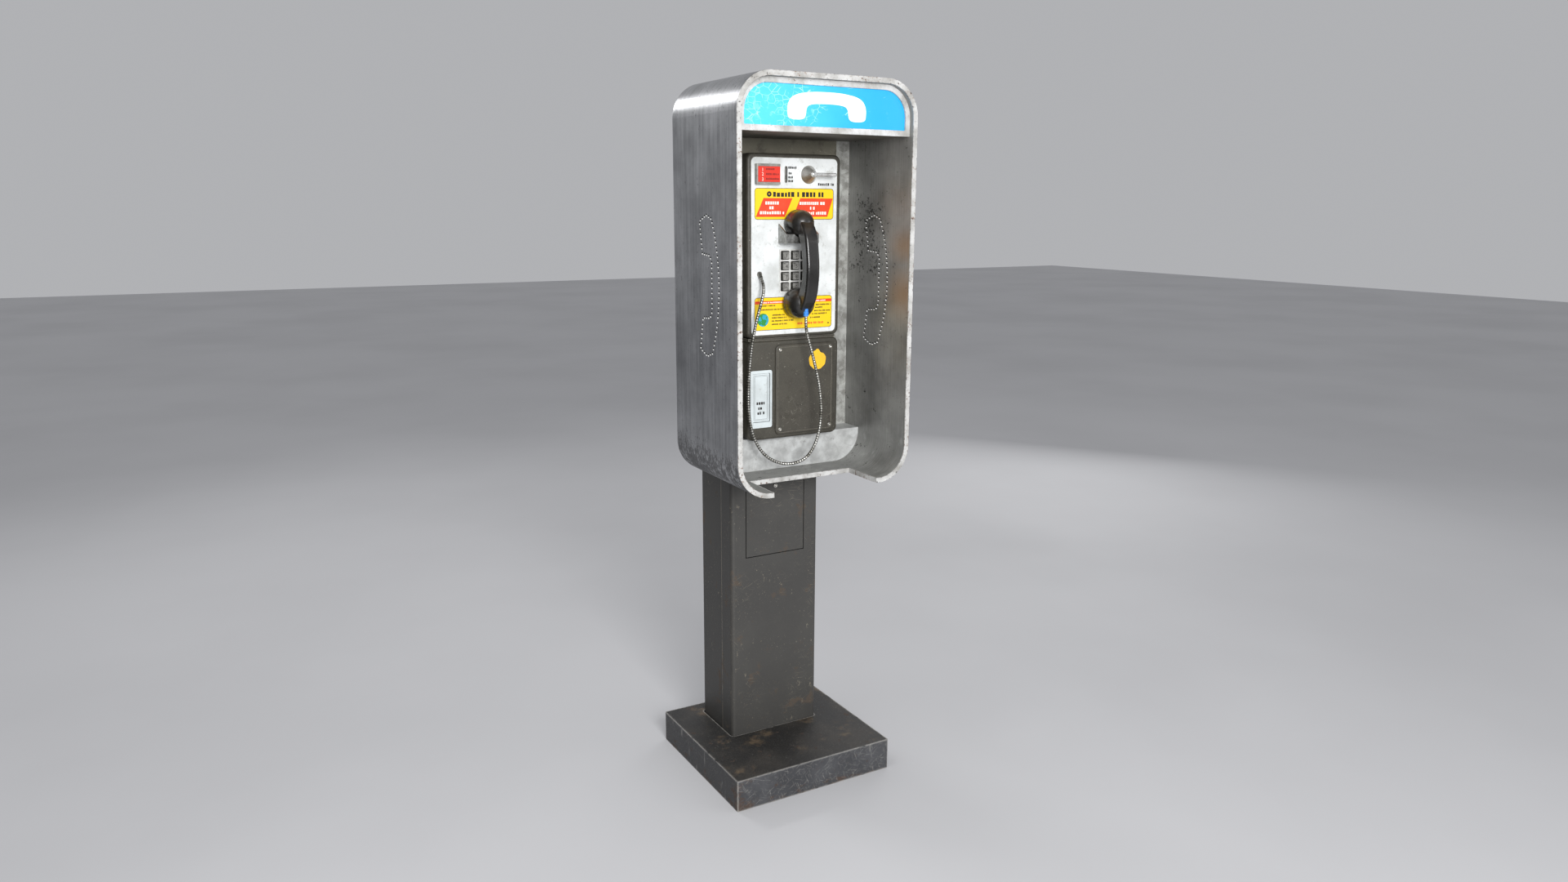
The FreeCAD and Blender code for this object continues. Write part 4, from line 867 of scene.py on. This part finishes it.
finishes = {
    "anchor_plate": galvanisedFinish,
    "base_cover": baseFinish(),
    "post_column": postFinish("columnPaint"),
    "post_cover": postFinish("coverPaint"),
    "access_door": postFinish("doorPaint"),
    "access_door_screw": screwFinish,
    "post_top_plate": hiddenFinish,
    "back_bracket": hiddenFinish,
    "enclosure_bolts": platedFinish("boltSteel", tone(160, 158, 152), tone(112, 108, 100), 0.32),
    "outer_skin": brushedSkin(),
    "acoustic_core": coreFoam(),
    "inner_liner": linerSteel(),
    "edge_trim": trimWhite,
    "rear_panel": galvanisedFinish,
    "backboard": wornPaint("boardPaint", board),
    "back_rail_left": zincFinish("railZinc", tone(186, 187, 183), tone(122, 121, 116), 90, 0.4, 0.2),
    "shelf": zincFinish("shelfZinc", tone(204, 206, 205), tone(166, 167, 166), 60, 0.38, 0.2),
    "lightbox_floor": wornPaint("ceilingPaint", dict(board, paint=tone(78, 75, 68), faded=tone(92, 89, 81))),
    "sign_frame": frameWhite,
    "sign_panel": signAcrylic(),
    "lamp_tube": lampGlass(),
    "lamp_holders": inkFinish("holderPlastic", tone(224, 223, 216), tone(196, 192, 178)),
    "upper_housing": housingFinish,
    "lower_housing": housingFinish,
    "faceplate": faceEnamel("faceEnamel", tone(228, 231, 231), tone(196, 199, 197)),
    "card_holder": holderFinish,
    "instruction_card": inkFinish("cardRed", tone(214, 46, 28), tone(196, 60, 44), 0.5, 0.72),
    "coin_slot_bezel": platedFinish("slotSteel", tone(128, 126, 120), tone(84, 82, 78), 0.28),
    "lever_boss": platedFinish("bossChrome", tone(214, 212, 206), tone(150, 147, 140), 0.16, (0.0415, 1.19)),
    "release_lever": chromeFinish,
    "hook_cradle": zincFinish("cradleZinc", tone(166, 167, 165), tone(108, 107, 103), 300, 0.2, 0.8),
    "switch_hook": chromeFinish,
    "keypad_bezel": zincFinish("bezelZinc", tone(226, 226, 222), tone(200, 200, 196), 400, 0.34, 0.1),
    "keypad_board": boardGreen(),
    "cord_bushing": platedFinish("bushingSteel", tone(150, 148, 142), tone(92, 90, 84), 0.3),
    "coin_return_frame": returnWhite,
    "coin_return_cup": darkFinish,
    "coin_return_flap": returnWhite,
    "vault_door": vaultFinish,
    "vault_door_screws": screwFinish,
    "coin_box": darkFinish,
    "housing_lock": chromeFinish,
    "handset_shell": plasticFinish,
    "ear_cap": plasticFinish,
    "mouth_cap": plasticFinish,
    "cord_ferrule": ferrulePlastic.material,
}
finishes["back_rail_right"] = finishes["back_rail_left"]
finished = 0
for name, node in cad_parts.items():
    finish = keyFinish if name.startswith("key_") else finishes.get(name)
    if finish:
        node.data.materials.clear()
        node.data.materials.append(finish)
        finished += 1
print("payphone: finishes on", finished, "nodes")

# Pricked outline of a handset on both side walls: each hole is lined with a funnel, with a painted highlight
# where it faces up and painted shade where it faces down
pricked = {
    "middle": (-0.083, 0.9925),
    "upper": [(-1, 118), (20, 125), (47, 114), (36, 57), (7, 55), (-1, 43)],   # millimetres from the middle
    "bow": -29,
    "pitch": 8.8,
    "mouthRadius": 0.00262,
    "throatRadius": 0.0009,
    "depth": 0.0014,
    "rings": 5,
    "sides": 12,
    "linerSheet": 0.0015,
}


# Points spaced equally along an arc through three points and the straight lines after it
def prickedSpots():
    upper = np.array(pricked["upper"], float)
    corners = np.concatenate([upper, upper[::-1] * (1, -1)])
    start, end, bow = corners[-1], corners[0], np.array([pricked["bow"], 0.0])
    # the arc's ends mirror each other about z = 0, so its centre lies on that line
    centre = ((end ** 2).sum() - bow[0] ** 2) / (2 * (end[0] - bow[0]))
    radius = abs(centre - bow[0])
    reach = math.atan2(end[1], end[0] - centre) % (2 * math.pi)
    turn = np.linspace(2 * math.pi - reach, reach, 241)
    arc = np.stack([centre + radius * np.cos(turn), radius * np.sin(turn)], axis=1)
    line = np.concatenate([arc, corners[1:]])
    walked = np.concatenate([[0], np.cumsum(np.linalg.norm(np.diff(line, axis=0), axis=1))])
    count = round(walked[-1] / pricked["pitch"])
    at = np.linspace(0, walked[-1], count + 1)[:-1]
    spots = np.stack([np.interp(at, walked, line[:, axis]) for axis in (0, 1)], axis=1) / 1000
    return spots + pricked["middle"]


# Profile turned round each spot: the radius narrows evenly while the depth grows as the square root
def funnelPiece(name, wall, inward, finish):
    spots = prickedSpots()
    rings, sides = pricked["rings"], pricked["sides"]
    down = np.linspace(0, 1, rings)
    radius = pricked["mouthRadius"] + (pricked["throatRadius"] - pricked["mouthRadius"]) * down
    depth = pricked["depth"] * np.sqrt(down) + 0.00004
    angle = np.linspace(0, 2 * np.pi, sides, endpoint=False)
    y = spots[:, 0, None, None] + radius[None, :, None] * np.cos(angle)
    z = spots[:, 1, None, None] + radius[None, :, None] * np.sin(angle)
    x = np.broadcast_to(wall + inward * depth[None, :, None], y.shape)
    faces = gridFaces(rings, sides, closeColumns=True)
    if inward > 0:
        faces = faces[:, ::-1]
    everyFace = (np.arange(len(spots))[:, None, None] * rings * sides + faces[None]).reshape(-1, 4)
    return makePiece(name, np.stack([x, y, z], axis=-1), [everyFace], [finish], smooth=True)


# Funnel: painted highlight where it faces up, painted shade where it faces down
def funnelLightAndShade():
    steel = Finish("funnelLightAndShade")
    # painted light: the upward side takes the near-white highlight, the downward side the near-black shade
    up = steel.facing(2).step(0.0, 0.35)
    dull = steel.noise(60, 4, 0.65).step(0.4, 0.7)
    funnelHighlight = steel.mix(dull * 0.4, tone(244, 244, 241), tone(196, 194, 188))
    colour = steel.mix(up, tone(34, 33, 31), funnelHighlight)
    rough = 0.42 + dull * 0.1
    return steel.surface(dull * 0.00002, Base_Color=colour, Roughness=rough, Metallic=0.1 + up * 0.1)


funnelFinish = funnelLightAndShade()
liner = dict(zip(("low", "high"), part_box("inner_liner")))
for name, wall, inward in (
    ("funnelsLeftOut", shell["low"][0], 1),
    ("funnelsLeftIn", liner["low"][0] + pricked["linerSheet"], -1),
    ("funnelsRightIn", liner["high"][0] - pricked["linerSheet"], 1),
    ("funnelsRightOut", shell["high"][0], -1),
):
    funnelPiece(name, wall, inward, funnelFinish)
print("payphone: pricked outlines lined")

# Lit sign: a plain white handset stands where the word was
sign = {"halfWidth": 0.080, "halfHeight": 0.024, "raised": 0.0004, "bottom": 1.2665, "top": 1.3349}
handsetMark = [
    (-1.0, -0.62), (-1.0, 0.1), (-0.86, 0.72), (-0.4, 0.98), (0.0, 1.0), (0.4, 0.98), (0.86, 0.72),
    (1.0, 0.1), (1.0, -0.62), (0.96, -0.95), (0.62, -0.98), (0.54, -0.7), (0.53, -0.1), (0.42, 0.14),
    (0.0, 0.2),
    (-0.42, 0.14), (-0.53, -0.1), (-0.54, -0.7), (-0.62, -0.98), (-0.96, -0.95),
]


def signMark():
    low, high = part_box("sign_panel")
    middle = np.array([(low[0] + high[0]) / 2, (sign["bottom"] + sign["top"]) / 2])
    white = inkFinish("signWhite", tone(246, 248, 248), tone(226, 236, 240), 0.3, 0.72)
    shader = white.node_tree.nodes["Principled BSDF"]
    shader.inputs["Emission Color"].default_value = tone(240, 246, 248)
    shader.inputs["Emission Strength"].default_value = 0.12
    mark = softenOutline(handsetMark)[::-1] * (sign["halfWidth"], sign["halfHeight"]) + middle
    piece = makePiece("signHandset", *plateShape(mark, low[1] - sign["raised"], low[1] + 0.0001), [white])


signMark()
print("payphone: sign marked")

# Labels on the faceplate, in metres from the middle of the floor
skin = 0.00015         # thickness of one layer of vinyl
sunk = 0.00005         # how far a flat piece reaches into the surface that it lies on
faceFront = face["low"][1]
dark = inkFinish("printDark", tone(30, 27, 24), tone(52, 48, 42), 0.4, 0.74)
pale = inkFinish("printPale", tone(240, 236, 226), tone(220, 214, 200), 0.4, 0.74)
red = inkFinish("labelRed", tone(226, 66, 30), tone(214, 84, 50), 0.35, 0.73)
yellow = inkFinish("labelYellow", tone(246, 206, 22), tone(232, 190, 44), 0.32, 0.715)
orange = inkFinish("printOrange", tone(222, 92, 34), tone(206, 100, 56), 0.4, 0.74)


def labelBase(name, left, right, bottom, top, radius, border):
    outer = roundedOutline(left, right, bottom, top, radius)
    inner = roundedOutline(left + border, right - border, bottom + border, top - border, radius - border)
    makePiece(name, *plateShape(outer, faceFront - skin, faceFront + sunk), [yellow])
    edging = frameShape(outer, inner, faceFront - skin * 1.5, faceFront - skin * 0.5)
    makePiece(name + "Border", *edging, [dark])


upperLabel = {
    "box": (-0.0737, 0.0965, 1.108, 1.165),
    "leftPanel": [(-0.0712, 1.113), (-0.0099, 1.113), (0.0065, 1.147), (-0.0550, 1.147)],
    "rightPanel": [(0.0080, 1.113), (0.0831, 1.113), (0.0948, 1.147), (0.0233, 1.147)],
    "heading": (-0.0349, 0.0769, 1.1538, 0.0088),
    "icon": (-0.0431, 1.1543, 0.0050),
}


def upperLabelPieces():
    labelBase("upperLabel", *upperLabel["box"], 0.006, 0.0009)
    for side in ("left", "right"):
        outline = np.array(upperLabel[side + "Panel"])
        makePiece(side + "Panel", *plateShape(outline, faceFront - skin * 2, faceFront - skin * 0.5), [red])
    printPiece("upperHeading", [upperLabel["heading"]], faceFront - skin, dark)
    angle = np.linspace(0, 2 * np.pi, 28, endpoint=False)
    x, z, radius = upperLabel["icon"]
    circle = np.stack([np.cos(angle), np.sin(angle)], axis=1)
    rings = [circle * size + (x, z) for size in (radius, radius * 0.25)]
    makePiece("headingRing", *frameShape(*rings, faceFront - skin * 2, faceFront - skin * 0.5), [dark])
    rows = [(-0.0512, -0.0196, 1.1382), (-0.0427, -0.0277, 1.1295), (-0.0626, -0.0080, 1.1206)]
    rows += [(0.0218, 0.0793, 1.1379), (0.0447, 0.0570, 1.1289), (0.0327, 0.0833, 1.1198)]
    printPiece("panelPrint", [(*row, 0.0055) for row in rows], faceFront - skin * 2, pale)


lowerLabel = {
    "box": (-0.0739, 0.0957, 0.9038, 0.9654),
    "strip": (0.9533, 0.9587),
    "disc": (-0.0559, 0.9236, 0.0123),
}


# Disc with soft blue and green patches, drawn by noise about its middle
def discFinish():
    disc = Finish("discInk")
    patch = disc.noise(110, 3, 0.5, shift=(0.4, 0, 0.2)).step(0.50, 0.53)
    colour = disc.mix(patch, tone(46, 158, 190), tone(44, 138, 62))
    fleck = disc.noise(500, 3).step(0.68, 0.72)
    colour = disc.mix(fleck * 0.5, colour, tone(190, 196, 188))
    return disc.surface(fleck * -0.00002, Base_Color=colour, Roughness=0.38 + fleck * 0.2)


def lowerLabelPieces():
    left, right, bottom, top = lowerLabel["box"]
    labelBase("lowerLabel", left, right, bottom, top, 0.006, 0.0009)
    low, high = lowerLabel["strip"]
    strip = [(left + 0.0012, right - 0.0012, low, high)]
    makePiece("lowerStrip", *barsShape(strip, faceFront - skin * 2, faceFront - skin * 0.5), [red])
    printPiece("stripPrint", [(-0.060, 0.083, 0.9558, 0.0024)], faceFront - skin * 2, pale)
    rows = [(-0.0619, -0.0286, 0.9498), (-0.0650, -0.0109, 0.9426), (-0.0358, -0.0094, 0.9320)]
    rows += [(-0.0365, -0.0051, 0.9267), (-0.0373, 0.0101, 0.9209), (-0.0373, -0.0034, 0.9146)]
    rows += [(0.0595, 0.0927, 0.9480), (0.0583, 0.0749, 0.9429), (0.0565, 0.0928, 0.9364)]
    rows += [(0.0507, 0.0858, 0.9309), (0.0475, 0.0705, 0.9239), (0.0865, 0.0912, 0.9120)]
    printPiece("lowerPrint", [(*row, 0.0026) for row in rows], faceFront - skin, dark)
    printPiece("lowerOrange", [(0.0191, 0.0785, 0.9137, 0.0042)], faceFront - skin, orange)
    angle = np.linspace(0, 2 * np.pi, 40, endpoint=False)
    x, z, radius = lowerLabel["disc"]
    circle = np.stack([np.cos(angle), np.sin(angle)], axis=1) * radius + (x, z)
    makePiece("labelDisc", *plateShape(circle, faceFront - skin * 2, faceFront - skin * 0.5), [discFinish()])


upperLabelPieces()
lowerLabelPieces()
print("payphone: labels laid")

# Instruction card, coin slot and lever print
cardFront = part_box("instruction_card")[0][1]
for number, height in zip("123", (1.1975, 1.1896, 1.1805)):
    figurePiece("cardFigure" + number, number, -0.0610, height, cardFront, 0.0060, pale, "booth")
maroon = inkFinish("printMaroon", tone(126, 22, 14), tone(150, 40, 28), 0.45, 0.74)
cardRows = ((1.1985, -0.0354), (1.1896, -0.0268), (1.1812, -0.0268))
cardLines = [(-0.0541, right, middle, 0.0034) for middle, right in cardRows]
printPiece("cardPrint", cardLines, cardFront, maroon)
slotLines = [
    (-0.0027, 0.0172, 1.2023, 0.0042),
    (-0.0020, 0.0050, 1.1920, 0.0040),
    (-0.0026, 0.0122, 1.1848, 0.0040),
    (-0.0026, 0.0097, 1.1780, 0.0040),
]
printPiece("slotPrint", slotLines, faceFront, dark)
printPiece("leverPrint", [(0.0620, 0.0974, 1.1728, 0.0048)], faceFront, dark)
print("payphone: small print set")

# Key figures, each riding on its own key
keySigns = {name: name[4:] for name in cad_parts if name.startswith("key_")}
keySigns.update(key_star="*", key_hash="#")
figureFinish = inkFinish("figureDark", tone(36, 34, 31), tone(60, 57, 52), 0.45, 0.74)
for name, figure in keySigns.items():
    low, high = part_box(name)
    x, z = (low[0] + high[0]) / 2, (low[2] + high[2]) / 2
    label = name.replace("key_", "figure_")
    piece = figurePiece(label, figure, x + 0.0014, z - 0.0008, low[1], 0.0068, figureFinish, name)
    if figure in "23456789":
        marks = [(x - 0.0056, x - 0.0018, z + 0.0044, 0.0014)]
        printPiece(name.replace("key_", "letters_"), marks, low[1], figureFinish, name)
print("payphone: key figures set")

# Coin return: two thin grey lines painted as the shade of pressed lines, and a short print on the flap, which
# ride with it
returnDoor = {
    "box": (-0.0786, -0.0420, 0.7297, 0.8223),
    "inset": (0.0026, 0.0048),
    "lineWidth": 0.0005,
    "print": ((1.0, 0.7655), (0.62, 0.7560), (0.8, 0.7465)),
    "halfPrint": 0.0095,
    "height": 0.0052,
}


def flapPieces():
    left, right, bottom, top = returnDoor["box"]
    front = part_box("coin_return_flap")[0][1]
    # painted shade: grey ink where the pressed lines would shade
    line = inkFinish("pressedLineShade", tone(104, 108, 108), tone(140, 144, 142), 0.4, 0.72)
    for number, inset in enumerate(returnDoor["inset"]):
        outer = roundedOutline(left + inset, right - inset, bottom + inset, top - inset, 0.0016)
        thin = inset + returnDoor["lineWidth"]
        inner = roundedOutline(left + thin, right - thin, bottom + thin, top - thin, 0.0011)
        shape = frameShape(outer, inner, front - 0.0002, front + sunk)
        makePiece(f"pressedLineShade{number}", *shape, [line], "return_flap")
    middle = (left + right) / 2
    reach = returnDoor["halfPrint"]
    lines = [
        (middle - share * reach, middle + share * reach, height, returnDoor["height"])
        for share, height in returnDoor["print"]
    ]
    printPiece("returnPrint", lines, front, dark, "return_flap")


flapPieces()


# Beads pressed round the vault door: a half-round section carried along a rounded rectangle
def beadPiece(name, box, radius, front, wide, tall, finish):
    across = np.linspace(-1, 1, 7)
    loops = []
    for share in across:
        inset = wide / 2 * (share + 1)
        outline = roundedOutline(
            box[0] + inset, box[1] - inset, box[2] + inset, box[3] - inset, radius - inset, 8
        )
        y = front + 0.0001 - (tall + 0.0001) * math.sqrt(max(0.0, 1 - share * share))
        loops.append(np.insert(outline, 1, y, axis=1))
    grid = np.stack(loops)
    faces = gridFaces(*grid.shape[:2], closeRows=True, closeColumns=True)[:, ::-1]
    return makePiece(name, grid, [faces], [finish], smooth=True)


vaultLow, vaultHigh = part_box("vault_door")
beadLook = dict(vault, edge=0.002, rub=1.0, bare=tone(150, 146, 134), speckLimit=0.6)
beadFinish = wornPaint("beadPaint", beadLook)
inset = 0.0042
beadBox = (vaultLow[0] + inset, vaultHigh[0] - inset, vaultLow[2] + inset, vaultHigh[2] - inset)
beadPiece("vaultBead", beadBox, 0.006, vaultLow[1], 0.0011, 0.0007, beadFinish)
print("payphone: coin return and vault dressed")

# Round yellow sticker on the vault door, plain, with one torn side
sticker = {"middle": (0.0625, 0.842), "radius": 0.019, "tear": 0.0035}


def roundSticker():
    ink = Finish("stickerYellow")
    cloud = ink.noise(60, 4, 0.6)
    colour = ink.mix(cloud.step(0.4, 0.75), tone(240, 190, 40), tone(226, 172, 50))
    worn = ink.noise(260, 5, 0.7).step(0.62, 0.68)
    colour = ink.mix(worn * 0.75, colour, tone(96, 84, 58))
    ink.surface(worn * -0.00005, Base_Color=colour, Roughness=0.42 + cloud * 0.15)
    angle = np.linspace(0, 2 * np.pi, 72, endpoint=False)
    # radius = r - tear * (bump at 58 degrees - half a narrower bump at 88) + ripple of nine waves
    torn = np.exp(-(((angle - math.radians(58)) / 0.3) ** 2))
    torn = torn - 0.5 * np.exp(-(((angle - math.radians(88)) / 0.2) ** 2))
    radius = sticker["radius"] - sticker["tear"] * torn + 0.0004 * np.sin(angle * 9)
    outline = np.stack([radius * np.cos(angle), radius * np.sin(angle)], axis=1) + sticker["middle"]
    makePiece("roundSticker", *plateShape(outline, vaultLow[1] - skin, vaultLow[1] + sunk), [ink.material])


roundSticker()
print("payphone: sticker on")
